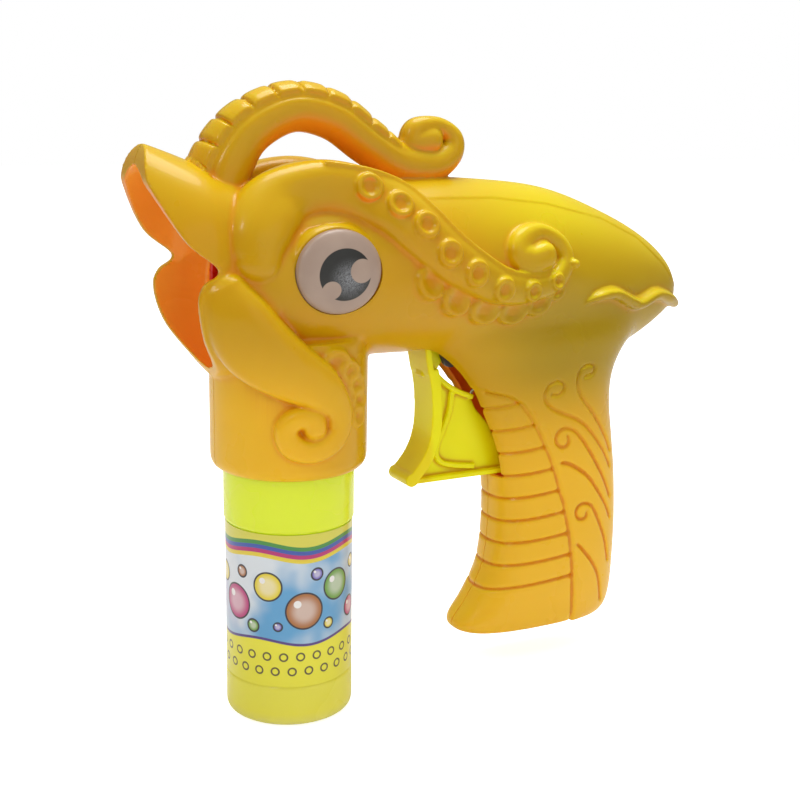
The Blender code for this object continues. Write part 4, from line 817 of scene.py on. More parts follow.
def hollowness(bm, rounds):
    """How far each point lies under the mean of its surroundings, in millimetres."""
    co, normals = points_of(bm), normals_of(bm)
    pairs, counts = edge_pairs(bm)
    mean = co
    for _ in range(rounds):
        mean = neighbour_mean(mean, pairs, counts)
    hollow = ((mean - co) * normals).sum(1)[:, None]
    for _ in range(HOLLOW_ROUNDS):
        hollow = neighbour_mean(hollow, pairs, counts)
    return co, hollow[:, 0]


def in_mouth(co):
    """True for points on the walls inside the mouth."""
    hood, lip = along(HOOD, 6), along(LIP, 6)
    x, y, z = co.T
    inset = MOUTH_WALL * INSIDE_SHARE
    top, wide, power = (np.interp(x, hood[:, 0], hood[:, k]) for k in (1, 2, 3))
    rise = np.clip((z - HOOD_EDGE) / (top - inset - HOOD_EDGE), 0, 2)
    upper = (z > HOOD_EDGE) & ((y / (wide - inset)) ** 2 + rise ** power < 1)
    middle, radius = (np.interp(x, lip[:, 0], lip[:, k]) for k in (1, 2))
    lower = np.hypot(y, z - middle) < radius - inset
    behind_rim = distance_to_line(co[:, [0, 2]], along(RIM, 8)) > RIM_EDGE
    return (x < MOUTH_BACK + INSIDE_REACH) & (upper | lower) & behind_rim


def mark(mesh, source, hollow):
    """Point attributes: hollows and creases, which mask painted shade, and the walls inside."""
    tree = KDTree(len(source))
    for index, place in enumerate(source):
        tree.insert(place, index)
    tree.balance()
    count = len(mesh.vertices)
    co = np.zeros(count * 3)
    mesh.vertices.foreach_get("co", co)
    co = co.reshape(-1, 3) / MM
    crease_shade, inside = np.zeros(count, np.float32), np.zeros(count, np.float32)
    for index, place in enumerate(co):
        _, found, away = tree.find(place)
        if away < SKIN_REACH:
            crease_shade[index] = hollow[found]
        else:
            inside[index] = 1.0
    mesh.attributes.new("crease_shade", "FLOAT", "POINT").data.foreach_set("value", crease_shade)
    inside = np.maximum(inside, in_mouth(co)).astype(np.float32)
    mesh.attributes.new("inside", "FLOAT", "POINT").data.foreach_set("value", inside)


def mouth_tools():
    hood = hood_body(MOUTH_WALL, 60, 6, HOOD_TIP_DEPTH)
    hollow = combined(hood, [lip_body(MOUTH_WALL, 64, 4)], "UNION")
    hollow = combined(hollow, [block((MOUTH_BACK, 0.0), (-FAR, FAR), WHOLE_Z)], "DIFFERENCE")
    rim = [tuple(row) for row in along(RIM, 8)]
    outline = rim + [(BEFORE_MOUTH, RIM[-1][1]), (BEFORE_MOUTH, RIM[0][1])]
    return [hollow, prism(outline, -FAR, FAR)]


def throat_place():
    """Middle of the throat, with Z turned along it."""
    return Matrix.Translation((THROAT_MIDDLE, 0, THROAT_HEIGHT)) @ rotation(90, "Y")


def screw_place(x, z):
    """Axis of a screw, with Z turned to its head."""
    return Matrix.Translation((x, 0, z)) @ rotation(-90, "X")


def inner_tools():
    """Hollows inside, as in the CAD but for the slot's floor and the oval seats of the eyes."""
    rows = [row for row in MANTLE if CAVITY_FRONT < row[0] < CAVITY_REAR]
    start = [np.interp(CAVITY_FRONT, MANTLE_ROWS[:, 0], MANTLE_ROWS[:, k]) for k in range(4)]
    cavity = mantle_body([start] + rows, WALL, 40)
    table = np.array(HANDLE)
    floor = HANDLE[0][0] + WALL
    base = [np.interp(floor, table[:, 0], table[:, k]) for k in range(4)]
    handle = handle_body([base] + [row for row in HANDLE if row[0] > floor + WALL], WALL, 32)
    cavity = combined(cavity, [handle], "UNION")
    columns = [peg((x, z), SCREW_BOSS_RADIUS, -FAR, FAR) for x, z, _ in SCREWS]
    columns += [peg((x, z), POST_RADIUS, start, end) for x, z, start, end in POSTS]
    for side in (-1, 1):
        ends = sorted(((EYE_SEAT - WALL) * side, FAR * side))
        columns.append(peg((EYE_X, EYE_HEIGHT), EYE_RADIUS + CLEARANCE + WALL, *ends, 48))
    cavity = combined(cavity, columns, "DIFFERENCE")
    reach = (CAVITY_FRONT - MOUTH_BACK) / 2 + 1.0
    groove, half = RING_GROOVE
    throat = spun([
        (0.0, -reach), (THROAT_RADIUS, -reach), (THROAT_RADIUS, -half), (groove, -half), (groove, half),
        (THROAT_RADIUS, half), (THROAT_RADIUS, reach), (0.0, reach)], 64, throat_place())
    low, high = CUP_RIM_RANGE
    cup = spun([
        (0.0, CUP_TOP), (CUP_NECK_BORE, CUP_TOP), (CUP_NECK_BORE, high), (CUP_RIM_BORE, high),
        (CUP_RIM_BORE, low), (CUP_BORE, low), (CUP_BORE, CUP_EDGE - 5.0), (0.0, CUP_EDGE - 5.0)], 96)
    oval = [(x, EYE_HEIGHT + (z - EYE_HEIGHT) * EYE_OVAL)
            for x, z in circle((EYE_X, EYE_HEIGHT), EYE_RADIUS + CLEARANCE, 96)]
    eyes = [prism(oval, *sorted((side * EYE_SEAT, side * FAR))) for side in (-1, 1)]
    pin = peg(TRIGGER_PIVOT, TRIGGER_PIN_RADIUS + CLEARANCE, *TRIGGER_PIN_RANGE)
    holes = []
    head, shank = SCREW_HEAD_RADIUS + CLEARANCE, SCREW_RADIUS + CLEARANCE
    end = -SCREW_REACH - CLEARANCE
    for x, z, seat in SCREWS:
        profile = [(0.0, FAR), (head, FAR), (head, seat), (shank, seat), (shank, end), (0.0, end)]
        holes.append(spun(profile, 32, screw_place(x, z)))
    return [cavity, throat, cup, block(*SLOT), *eyes, pin, *holes]


def eye_turn(side):
    """Turns Z to an eye's outward side and presses it oval."""
    return rotation(-side * 90, "X") @ Matrix.Diagonal((1.0, EYE_OVAL, 1.0, 1.0))


def eye_socket(side):
    """Low swelling that an eye sits in."""
    top, low = EYE_SEAT, EYE_SEAT - SOCKET_DROP
    profile = [(0.0, top), (EYE_RADIUS + SOCKET_RIM, top), (EYE_RADIUS + SOCKET_FOOT, low), (0.0, low)]
    return spun(profile, 64, Matrix.Translation((EYE_X, 0, EYE_HEIGHT)) @ eye_turn(side))


def body_skin():
    """Outside of the moulding, both halves in one."""
    core = melted([
        mantle_body(MANTLE_ROWS, 0.0, 96), handle_body(along(HANDLE, 4), 0.0, 80), cup_body(),
        hood_body(0.0, 60, 6), lip_body(0.0, 80, 6)], CORE_VOXEL, 5)
    core = eased(core, JUNCTION_ROUNDS)
    sides = side_forms()
    carried = [arch_form()] + [mirrored(body) for body in sides] + sides
    collar = ball(SCREW_COLLAR, SCREW_COLLAR_RADII)
    skin = melted([core, collar, eye_socket(-1), eye_socket(1)] + carried, SKIN_VOXEL, 3)
    suckers = sucker_forms(BVHTree.FromBMesh(skin))
    suckers += [mirrored(sucker) for sucker in suckers]
    skin = combined(skin, mouth_tools(), "DIFFERENCE")
    skin = melted([skin] + suckers, SKIN_VOXEL, 1)
    return engrave(skin)


def make_shells(material):
    skin = body_skin()
    source, hollow = hollowness(skin, CREASE_ROUNDS)
    tools = inner_tools()
    for name, side in (("left_shell", -1), ("right_shell", 1)):
        away = sorted((-side * WHOLE_SIDE, side * PARTING_GAP / 2))
        half = combined(skin.copy(), [block(WHOLE_X, away, WHOLE_Z), *tools], "DIFFERENCE")
        bmesh.ops.triangulate(half, faces=half.faces)
        obj = new_object(half)
        thin = obj.modifiers.new("thin", "DECIMATE")
        thin.ratio = min(1.0, SHELL_TRIANGLES / len(obj.data.polygons))
        half = evaluated(obj)
        shell = placed(name + "_fine", half, material, "blower", name, slot="shell", sharp=50.0)
        mark(shell.data, source, hollow)
    skin.free()


# Finishes

def linear(rgb):
    """Display colour 0-255 as a linear colour."""
    shares = [c / 255 for c in rgb]
    return [((c + 0.055) / 1.055) ** 2.4 if c > 0.04045 else c / 12.92 for c in shares] + [1.0]


class Finish:
    """A material and short ways to add nodes to it."""

    def __init__(self, name, roughness=0.35):
        self.material = bpy.data.materials.new(name)
        self.material.use_nodes = True
        self.tree = self.material.node_tree
        self.shader = self.tree.nodes["Principled BSDF"]
        self.shader.inputs["Roughness"].default_value = roughness

    def node(self, kind, **inputs):
        made = self.tree.nodes.new(kind)
        for key, value in inputs.items():
            self.link(value, made.inputs[key])
        return made

    def link(self, value, socket):
        if isinstance(value, bpy.types.NodeSocket):
            self.tree.links.new(value, socket)
        else:
            socket.default_value = value

    def maths(self, operation, a, b=0.0):
        made = self.tree.nodes.new("ShaderNodeMath")
        made.operation = operation
        self.link(a, made.inputs[0])
        self.link(b, made.inputs[1])
        return made.outputs[0]

    def plus(self, a, b):
        return self.maths("ADD", a, b)

    def minus(self, a, b):
        return self.maths("SUBTRACT", a, b)

    def times(self, first, *others):
        for other in others:
            first = self.maths("MULTIPLY", first, other)
        return first

    def length(self, a, b):
        return self.maths("SQRT", self.plus(self.times(a, a), self.times(b, b)))

    def spread(self, value, low, high, to_low=0.0, to_high=1.0):
        made = self.tree.nodes.new("ShaderNodeMapRange")
        made.interpolation_type = "SMOOTHSTEP"
        self.link(value, made.inputs["Value"])
        for key, number in (("From Min", low), ("From Max", high), ("To Min", to_low), ("To Max", to_high)):
            made.inputs[key].default_value = number
        return made.outputs["Result"]

    def mix(self, share, a, b):
        made = self.tree.nodes.new("ShaderNodeMix")
        made.data_type = "RGBA"
        self.link(share, made.inputs["Factor"])
        self.link(a, made.inputs[6])
        self.link(b, made.inputs[7])
        return made.outputs[2]

    def over(self, colour, *layers):
        """The colour under layers, each with its share and display colour."""
        for share, rgb in layers:
            colour = self.mix(share, colour, linear(rgb))
        return colour

    def attribute(self, name):
        made = self.node("ShaderNodeAttribute")
        made.attribute_name = name
        return made.outputs["Fac"]

    def coordinates(self):
        return self.node("ShaderNodeTexCoord").outputs["Object"]

    def split(self, vector):
        return tuple(self.node("ShaderNodeSeparateXYZ", Vector=vector).outputs)

    def axes(self):
        return self.split(self.coordinates())

    def noise(self, scale, detail=2.0):
        made = self.node("ShaderNodeTexNoise", Vector=self.coordinates())
        made.inputs["Scale"].default_value = scale
        made.inputs["Detail"].default_value = detail
        return made.outputs["Fac"]

    def bump(self, height, strength, distance):
        made = self.node("ShaderNodeBump", Height=height)
        made.inputs["Strength"].default_value = strength
        made.inputs["Distance"].default_value = distance
        self.tree.links.new(made.outputs["Normal"], self.shader.inputs["Normal"])

    def set(self, **inputs):
        for key, value in inputs.items():
            self.link(value, self.shader.inputs[key.replace("_", " ")])


# Display colours of the shell; all but skin and cloud are painted light and shade on the yellow plastic
SHELL_TINTS = {
    "skin": (212, 160, 4), "cloud": (207, 162, 8), "rear": (204, 172, 0), "belt_shade": (164, 136, 0),
    "cup": (248, 194, 32), "foot": (255, 200, 46), "top": (232, 204, 12), "panel": (238, 222, 14),
    "under": (250, 134, 26), "crease_shade": (222, 122, 6), "inside": (250, 168, 56), "glow": (255, 146, 52),
}


def shell_finish():
    """Yellow plastic with painted light and shade: greener at the rear and darker below it as painted shade,
    warmer on cup and grip, lighter at the foot and on upward faces as painted light, browner in creases and
    orange under the arch as painted shade, lighter orange and a glow inside as painted light; zones in
    metres.
    """
    finish = Finish("shell_plastic", 0.3)
    spread, times, tint = finish.spread, finish.times, SHELL_TINTS
    x, y, z = finish.axes()
    up = finish.split(finish.node("ShaderNodeNewGeometry").outputs["Normal"])[2]
    crease_shade, inside = finish.attribute("crease_shade"), finish.attribute("inside")
    cloud = spread(finish.noise(35.0), 0.3, 0.7)
    # Painted shade: the rear of the mantle turns olive where less light falls
    rear = times(spread(x, 0.03, 0.1), spread(z, 0.075, 0.11))
    # Painted shade: a darker olive band on the lower rear of the mantle
    belt_shade = times(spread(z, 0.078, 0.1), spread(z, 0.136, 0.112), spread(x, 0.045, 0.085))
    # Painted light: cup and grip lighter and warmer, standing in for light bounced up from the floor
    cup = times(spread(x, 0.03, -0.015), spread(z, 0.118, 0.09))
    grip = times(spread(x, 0.03, 0.05), spread(z, 0.1, 0.06))
    # Painted light: the upward faces of the rear's top panel made lighter
    panel = times(rear, spread(up, 0.2, 0.6, 0.0, 0.9), spread(x, 0.07, 0.115, 1.0, 0.35))
    # Painted shade: orange on the downward faces of the arch
    under = times(spread(up, 0.0, -0.6, 0.0, 0.75), spread(z, 0.14, 0.15))
    # Painted shade: browner in creases and in the grip's grooves, less at the rear
    groove = times(spread(crease_shade, 0.02, 0.16, 0.0, 0.7), grip)
    hollow = finish.maths("MAXIMUM", spread(crease_shade, 0.04, 0.42, 0.0, 0.55), groove)
    calm = finish.minus(1.0, times(rear, 0.6))
    colour = finish.over(
        linear(tint["skin"]), (cloud, tint["cloud"]), (times(rear, 0.8), tint["rear"]),
        (times(belt_shade, 0.75), tint["belt_shade"]), (finish.plus(cup, grip), tint["cup"]),
        # Painted light: lighter near the floor at the foot, and lighter on upward faces
        (spread(z, 0.05, 0.015), tint["foot"]), (spread(up, 0.2, 0.9, 0.0, 0.45), tint["top"]),
        (panel, tint["panel"]), (under, tint["under"]), (times(hollow, calm), tint["crease_shade"]),
        # Painted light: the walls inside the mouth and slot a lighter orange, standing in for light through
        # the thin plastic
        (inside, tint["inside"]))
    # Painted glow: emission in the slot and throat stands for light through the thin plastic, which is no
    # lamp
    slot = times(spread(x, 0.03, 0.036), spread(finish.maths("ABSOLUTE", y), 0.0075, 0.0068))
    throat = spread(x, -0.005, -0.015)
    glow = times(inside, finish.plus(times(slot, 0.17), times(throat, 0.04)))
    finish.set(Base_Color=colour, Roughness=spread(finish.noise(60.0, 3.0), 0.3, 0.75, 0.26, 0.38))
    finish.set(Subsurface_Weight=0.2, Subsurface_Scale=0.003, Subsurface_Radius=(1.0, 0.5, 0.06))
    finish.set(Specular_IOR_Level=0.2, Coat_Weight=0.2, Coat_Roughness=0.06)
    finish.set(Emission_Color=linear(tint["glow"]), Emission_Strength=glow)
    finish.bump(finish.noise(900.0, 1.0), 0.05, 0.0001)
    return finish.material


def plain_finish(name, rgb, roughness, metallic=0.0, mottling=0.06, scale=220.0, **inputs):
    finish = Finish(name, roughness)
    base = linear(rgb)
    darker = [c * (1 - mottling * 2) for c in base[:3]] + [1.0]
    colour = finish.mix(finish.spread(finish.noise(scale), 0.35, 0.65), darker, base)
    rough = finish.spread(finish.noise(scale * 2.0), 0.3, 0.7, roughness * 0.85, min(1.0, roughness * 1.2))
    finish.set(Base_Color=colour, Roughness=rough, Metallic=metallic, **inputs)
    return finish.material


# Pieces beside the shells

BOTTLE_STEPS = 128
# Bottle's profile from the neck down, and inside from the floor up: radius, height
BOTTLE_OUTSIDE = [
    (12.3, 94.0), (13.6, 94.0), (13.6, 82.5), (18.9, 76.4), (18.9, 58.5), (18.0, 57.7), (18.0, 12.3),
    (18.6, 11.5), (18.6, 0.0), (14.0, 0.0), (12.6, 0.9), (0.0, 1.0),
]
BOTTLE_INSIDE = [(0.0, 2.0), (12.4, 2.0), (16.7, 6.0), (16.7, 76.0), (12.3, 82.0), (12.3, 94.0)]
# Its edges' roundings: outside, foot, inside
BOTTLE_EDGES = (0.6, 4.6, 2.0)
# Sleeve: radii, heights
LABEL_INNER = 18.3
LABEL_RADIUS = 18.55
LABEL_RANGE = (12.3, 57.75)


def rounded(corners, radius, count=5):
    """Profile whose inner corners are replaced by arcs."""
    result = [corners[0]]
    for before, corner, after in zip(corners, corners[1:], corners[2:]):
        a, b, c = Vector(before), Vector(corner), Vector(after)
        reach = min(radius, (a - b).length * 0.45, (c - b).length * 0.45)
        start, end = b + (a - b).normalized() * reach, b + (c - b).normalized() * reach
        for k in range(count + 1):
            t = k / count
            result.append(tuple(start * (1 - t) ** 2 + b * (2 * t * (1 - t)) + end * t ** 2))
    result.append(corners[-1])
    return result


def make_bottle(material, label_material):
    """Bottle with a larger rounding at its foot, and its sleeve."""
    edge, foot_edge, inner_edge = BOTTLE_EDGES
    outside = rounded(BOTTLE_OUTSIDE, edge)
    foot = rounded(BOTTLE_OUTSIDE[7:10], foot_edge, 12)
    start = next(i for i, (r, z) in enumerate(outside) if z < 11 and r > 18)
    end = next(i for i, (r, z) in enumerate(outside) if r < 14.5 and z < 5)
    outside = outside[:start] + foot[1:-1] + outside[end:]
    bottle = spun(rounded(BOTTLE_INSIDE, inner_edge)[:-1] + outside, BOTTLE_STEPS)
    placed("bottle_fine", bottle, material, "bottle", "bottle", slot="bottle", sharp=35.0)
    low, high = LABEL_RANGE
    profile = [(LABEL_INNER, high), (LABEL_INNER, low), (LABEL_RADIUS, low), (LABEL_RADIUS, high)]
    sleeve = spun(profile, BOTTLE_STEPS)
    placed("label_fine", sleeve, label_material, "bottle", "bottle_label", slot="label", sharp=35.0)


def make_eyes(material):
    for name, side in (("left_eye", -1), ("right_eye", 1)):
        profile = [(0.0, EYE_RIM + EYE_DOME)]
        for angle in np.radians(np.linspace(5, 84, 18)):
            profile.append((EYE_RADIUS * math.sin(angle), EYE_RIM + EYE_DOME * math.cos(angle)))
        profile += [(EYE_RADIUS, EYE_RIM * 0.8), (EYE_RADIUS, 0.0), (0.0, 0.0)]
        place = Matrix.Translation((EYE_X, side * (EYE_SEAT + CLEARANCE), EYE_HEIGHT))
        disc = spun(profile, 96, place @ eye_turn(side))
        placed(name + "_fine", disc, material, "blower", name, slot="eye")


def bar(length, width, height):
    """Box with rounded edges about the origin, its length along X from zero."""
    bm = bmesh.new()
    bmesh.ops.create_cube(bm, size=1.0)
    transformed(bm, Matrix.Translation((length / 2, 0, 0)) @ Matrix.Diagonal((length, width, height, 1.0)))
    bmesh.ops.bevel(bm, geom=bm.edges, offset=min(width, height) * 0.2, segments=3, profile=0.5,
                    affect="EDGES", material=-1)
    return bm


# Cross in a screw's head: length, width, twice its depth
CROSS = (3.2, 0.75, 2.2)
SCREW_TIP = 1.5


def make_screws(material):
    for number, (x, z, seat) in enumerate(SCREWS, 1):
        low = seat + CLEARANCE
        top = low + SCREW_HEAD_THICKNESS
        profile = rounded([
            (0.0, top), (SCREW_HEAD_RADIUS, top - 0.5), (SCREW_HEAD_RADIUS, low), (SCREW_RADIUS, low),
            (SCREW_RADIUS, -SCREW_REACH + SCREW_TIP), (0.0, -SCREW_REACH)], 0.4)
        middle = Matrix.Translation((-CROSS[0] / 2, 0, 0))
        crosses = []
        for quarter in range(2):
            place = Matrix.Translation((0, 0, top)) @ rotation(90 * quarter, "Z") @ middle
            crosses.append(transformed(bar(*CROSS), place))
        screw = combined(spun(profile, 40), crosses, "DIFFERENCE")
        transformed(screw, screw_place(x, z))
        name = f"screw_{number}"
        placed(name + "_fine", screw, material, "blower", name, slot="steel", sharp=30.0)


# Ring: how far it stands out of the throat, wall, edge, number of spokes
RING_FRONT = 2.0
RING_WALL = 2.2
RING_EDGE = 0.8
SPOKES = 6
# Its hub: radii, front and back behind the ring's front; its spokes: start, width, thickness, place
HUB_RADII = (2.2, 3.6)
HUB_RANGE = (0.6, 3.0)
SPOKE_START = 3.0
SPOKE_SIZE = (1.6, 1.9)
SPOKE_PLACE = 1.8


def make_ring(material):
    """Red ring in the throat with a spoked hub."""
    front, back = MOUTH_BACK - RING_FRONT - THROAT_MIDDLE, CAVITY_FRONT - THROAT_MIDDLE
    outer = THROAT_RADIUS - CLEARANCE
    inner = outer - RING_WALL
    flange, half = RING_FLANGE
    small = RING_EDGE / 2
    profile = [
        (outer - RING_EDGE, front), (outer, front + RING_EDGE), (outer, -half), (flange, -half),
        (flange, half), (outer, half), (outer, back), (inner, back), (inner, front + small),
        (inner + small, front)]
    (bore, rim), (near, far) = HUB_RADII, HUB_RANGE
    bodies = [spun([(rim, front + near), (rim, front + far), (bore, front + far), (bore, front + near)], 48)]
    for number in range(SPOKES):
        spoke = bar(inner + 1.0 - SPOKE_START, *SPOKE_SIZE)
        start = Matrix.Translation((SPOKE_START, 0, front + SPOKE_PLACE))
        bodies.append(transformed(spoke, rotation(360 * number / SPOKES, "Z") @ start))
    ring = combined(spun(profile, 96), bodies, "UNION")
    transformed(ring, throat_place())
    placed("ring_fine", ring, material, "blower", "bubble_ring", slot="ring", sharp=35.0)


# Trigger: lines and points of its side view, x and z, and its thicknesses
TRIGGER_FRONT = [(42.4, 98.0), (43.6, 91.5), (44.0, 84.0), (43.4, 77.6), (41.0, 71.6), (35.8, 65.4)]
TRIGGER_TOP = [(46.0, 98.0), (48.2, 95.6), (51.2, 93.2), (54.8, 91.1), (59.6, 89.2)]
TRIGGER_REAR = [(61.6, 84.0), (66.6, 78.2), (70.2, 70.6), (71.6, 64.0)]
TRIGGER_TOE = (38.4, 63.2)
TRIGGER_TIP = (37.6, 65.2)
TRIGGER_TIP_RADIUS = 2.1
TRIGGER_CREST = [(41.0, 105.6), (41.4, 102.0), (42.4, 97.0)]
TRIGGER_CREST_THICKNESS = 2.0
TRIGGER_S_RIB = [
    (51.6, 91.0), (51.0, 85.0), (48.8, 79.0), (47.0, 74.6), (46.8, 70.8), (49.0, 68.0), (53.6, 66.5),
    (61.0, 65.4),
]
TRIGGER_NECK = [(45.6, 113.0), (41.9, 96.0), (46.0, 95.8), (55.0, 108.8)]
TRIGGER_HUB_RADIUS = 5.2
TRIGGER_HUB_HALF = 2.0
TRIGGER_WEB_HALF = 1.6
TRIGGER_PLATE = 3.4
TRIGGER_HALF_WIDTH = 6.0
TRIGGER_RIB = 4.0
TRIGGER_RIB_THICKNESS = 1.6
TRIGGER_VOXEL = 0.24
SECTOR_TEETH = 28
SECTOR_BEARING = 67.0
SECTOR_HALF_WIDTH = 1.2
# Corners of a tooth: reach over the pitch circle, turn in flanks; a flank as a share of the pitch
SECTOR_TOOTH = [(-1.15, -1.5), (0.72, -0.55), (0.72, 0.55), (-1.15, 1.5)]
SECTOR_FLANK = 0.19


def shifted(points, distance):
    """A line of points moved to its left by the distance."""
    points = np.array(points, float)
    run = np.gradient(points, axis=0)
    run /= np.hypot(*run.T)[:, None]
    return [tuple(row) for row in points + distance * np.stack([-run[:, 1], run[:, 0]], -1)]


def band(points, thickness, half_width):
    points = [tuple(row) for row in points]
    return prism(points + shifted(points, thickness)[::-1], -half_width, half_width)


def sector_body():
    """Toothed sector behind the pivot, one module per tooth."""
    outline = [TRIGGER_PIVOT]
    step = 360 / SECTOR_TEETH
    flank = step * SECTOR_FLANK
    radius = SECTOR_TEETH / 2
    for number in range(-2, 2):
        middle = SECTOR_BEARING + number * step
        for reach, turn in SECTOR_TOOTH:
            outline += circle(TRIGGER_PIVOT, radius + reach, 1, middle + flank * turn)
    return prism(outline, -SECTOR_HALF_WIDTH, SECTOR_HALF_WIDTH)


def make_trigger(material):
    front, top, rear = along(TRIGGER_FRONT, 6), along(TRIGGER_TOP, 6), along(TRIGGER_REAR, 6)
    inner = TRIGGER_RIB_THICKNESS / 2
    foot = TRIGGER_TOE[1] + inner
    web = shifted(front, TRIGGER_PLATE / 2)[::-1] + shifted(top, -inner) + [tuple(row) for row in rear]
    web += [(rear[-1][0], foot), (TRIGGER_TOE[0] + inner, foot)]
    toe_x, toe_z = TRIGGER_TOE
    bottom = [(TRIGGER_FRONT[-1][0] + 1.2, toe_z + 0.9), (toe_x, toe_z), (rear[-1][0] - 0.2, toe_z)]
    hub_half = TRIGGER_HUB_HALF
    bodies = [
        prism(web, -TRIGGER_WEB_HALF, TRIGGER_WEB_HALF), band(front, TRIGGER_PLATE, TRIGGER_HALF_WIDTH),
        band(bottom, TRIGGER_RIB_THICKNESS, TRIGGER_RIB), band(top[::-1], TRIGGER_RIB_THICKNESS, TRIGGER_RIB),
        band(along(TRIGGER_S_RIB, 6), TRIGGER_RIB_THICKNESS, TRIGGER_RIB - 1.0),
        peg(TRIGGER_PIVOT, TRIGGER_HUB_RADIUS, -hub_half, hub_half, 40),
        prism(TRIGGER_NECK, -hub_half, hub_half),
        peg(TRIGGER_TIP, TRIGGER_TIP_RADIUS, -TRIGGER_HALF_WIDTH, TRIGGER_HALF_WIDTH),
        band(TRIGGER_CREST, TRIGGER_CREST_THICKNESS, TRIGGER_HALF_WIDTH)]
    grip = melted(bodies, TRIGGER_VOXEL, 8)
    creases = hollowness(grip, CREASE_ROUNDS)
    body = combined(grip, [sector_body()], "UNION")
    body = combined(body, [peg(TRIGGER_PIVOT, TRIGGER_PIN_RADIUS + CLEARANCE, -4.0, 4.0, 40)], "DIFFERENCE")
    trigger = placed("trigger_fine", body, material, "trigger", "trigger", slot="trigger", sharp=50.0)
    mark(trigger.data, *creases)


# Spring behind the trigger, as in the CAD: its front end, radius, wire and turns
SPRING_FRONT = (61.6, 87.2)
SPRING_RADIUS = 2.6
SPRING_WIRE = 0.5
SPRING_TURNS = 6
SPRING_STEPS = 32


def make_spring(material):
    """Coil from behind the trigger to the third screw's column, built at rest."""
    x, z, _ = SCREWS[2]
    start = Vector((SPRING_FRONT[0], 0, SPRING_FRONT[1]))
    seat = Vector((x, 0, z))
    axis = (seat - start).normalized()
    length = (seat - start).length - SCREW_BOSS_RADIUS - CLEARANCE - SPRING_WIRE
    side = Vector((0, 1, 0))
    up = axis.cross(side)
    count = SPRING_TURNS * SPRING_STEPS
    turns = [2 * math.pi * k / 12 for k in range(12)]
    rings = []
    for i in range(count + 1):
        angle = 2 * math.pi * i / SPRING_STEPS
        outward = math.cos(angle) * side + math.sin(angle) * up
        centre = start + axis * (SPRING_WIRE + length * i / count) + SPRING_RADIUS * outward
        rings.append([centre + SPRING_WIRE * (math.cos(t) * outward + math.sin(t) * axis) for t in turns])
    spring = placed("trigger_spring_fine", lofted(rings), material, "blower", "trigger_spring")
    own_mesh(spring)


# More finishes

def trigger_finish():
    finish = Finish("trigger_plastic", 0.35)
    # Painted shade: the trigger darker yellow in its creases
    hollow = finish.spread(finish.attribute("crease_shade"), 0.02, 0.25, 0.0, 0.8)
    x, _, z = finish.axes()
    plate = finish.spread(finish.plus(x, finish.times(z, 0.1)), 0.053, 0.05)
    colour = finish.over(
        linear((250, 246, 2)), (finish.times(plate, 0.6), (242, 210, 14)), (hollow, (216, 172, 10)))
    finish.set(Base_Color=colour, Roughness=finish.spread(finish.noise(90.0), 0.3, 0.7, 0.3, 0.42))
    finish.set(Subsurface_Weight=0.4, Subsurface_Scale=0.004, Subsurface_Radius=(1.0, 0.8, 0.1))
    finish.set(Specular_IOR_Level=0.25)
    return finish.material


def bottle_finish():
    finish = Finish("bottle_plastic", 0.25)
    z = finish.axes()[2]
    foot = finish.times(finish.spread(z, 0.004, 0.0), 0.5)
    colour = finish.over(
        linear((238, 230, 84)), (finish.spread(z, 0.012, 0.058), (230, 255, 52)), (foot, (226, 224, 150)))
    finish.set(Base_Color=colour, Roughness=finish.spread(finish.noise(50.0), 0.3, 0.7, 0.18, 0.3))
    finish.set(Subsurface_Weight=0.7, Subsurface_Scale=0.008, Subsurface_Radius=(1.0, 1.0, 0.25))
    finish.set(Specular_IOR_Level=0.35, Coat_Weight=0.15, Coat_Roughness=0.06)
    # Painted glow: a faint emission in the bottle's own colour
    finish.set(Emission_Color=colour, Emission_Strength=0.1)
    return finish.material


# Printed eye: x, z, radius of the pupil and of the glints in it; the pupil's grey middle; soft edge
PUPIL = (5.6, 131.0, 7.6)
GLINTS = [(10.3, 131.9, 3.5), (1.5, 126.6, 2.7)]
PUPIL_MIDDLE = (6.8, 129.6, 7.0)
PRINT_EDGE = 0.12


def eye_finish():
    finish = Finish("eye_plastic", 0.3)
    x, _, z = finish.axes()
    tall = finish.maths("DIVIDE", finish.minus(z, EYE_HEIGHT * MM), EYE_OVAL)

    def away(place):
        up = finish.minus(tall, (place[1] - EYE_HEIGHT) * MM)
        return finish.length(finish.minus(x, place[0] * MM), up)

    def outside(place):
        radius = place[2]
        return finish.spread(away(place), (radius - PRINT_EDGE) * MM, (radius + PRINT_EDGE) * MM)

    ink = finish.minus(1.0, outside(PUPIL))
    for glint in GLINTS:
        ink = finish.times(ink, outside(glint))
    speck = finish.spread(finish.noise(3200.0, 3.0), 0.32, 0.66, 0.25, 1.0)
    glow = finish.spread(away(PUPIL_MIDDLE), PUPIL_MIDDLE[2] * MM, 0.5 * MM)
    grey = finish.over(linear((33, 35, 33)), (finish.times(glow, speck), (138, 142, 147)))
    cloud = finish.spread(finish.noise(120.0), 0.3, 0.7)
    white = finish.over(linear((170, 149, 135)), (cloud, (178, 157, 142)))
    rough = finish.spread(finish.noise(300.0), 0.3, 0.7, 0.28, 0.4)
    finish.set(Base_Color=finish.mix(ink, white, grey), Roughness=rough)
    return finish.material


# Bearing of the label's front
LABEL_FRONT = -118.0
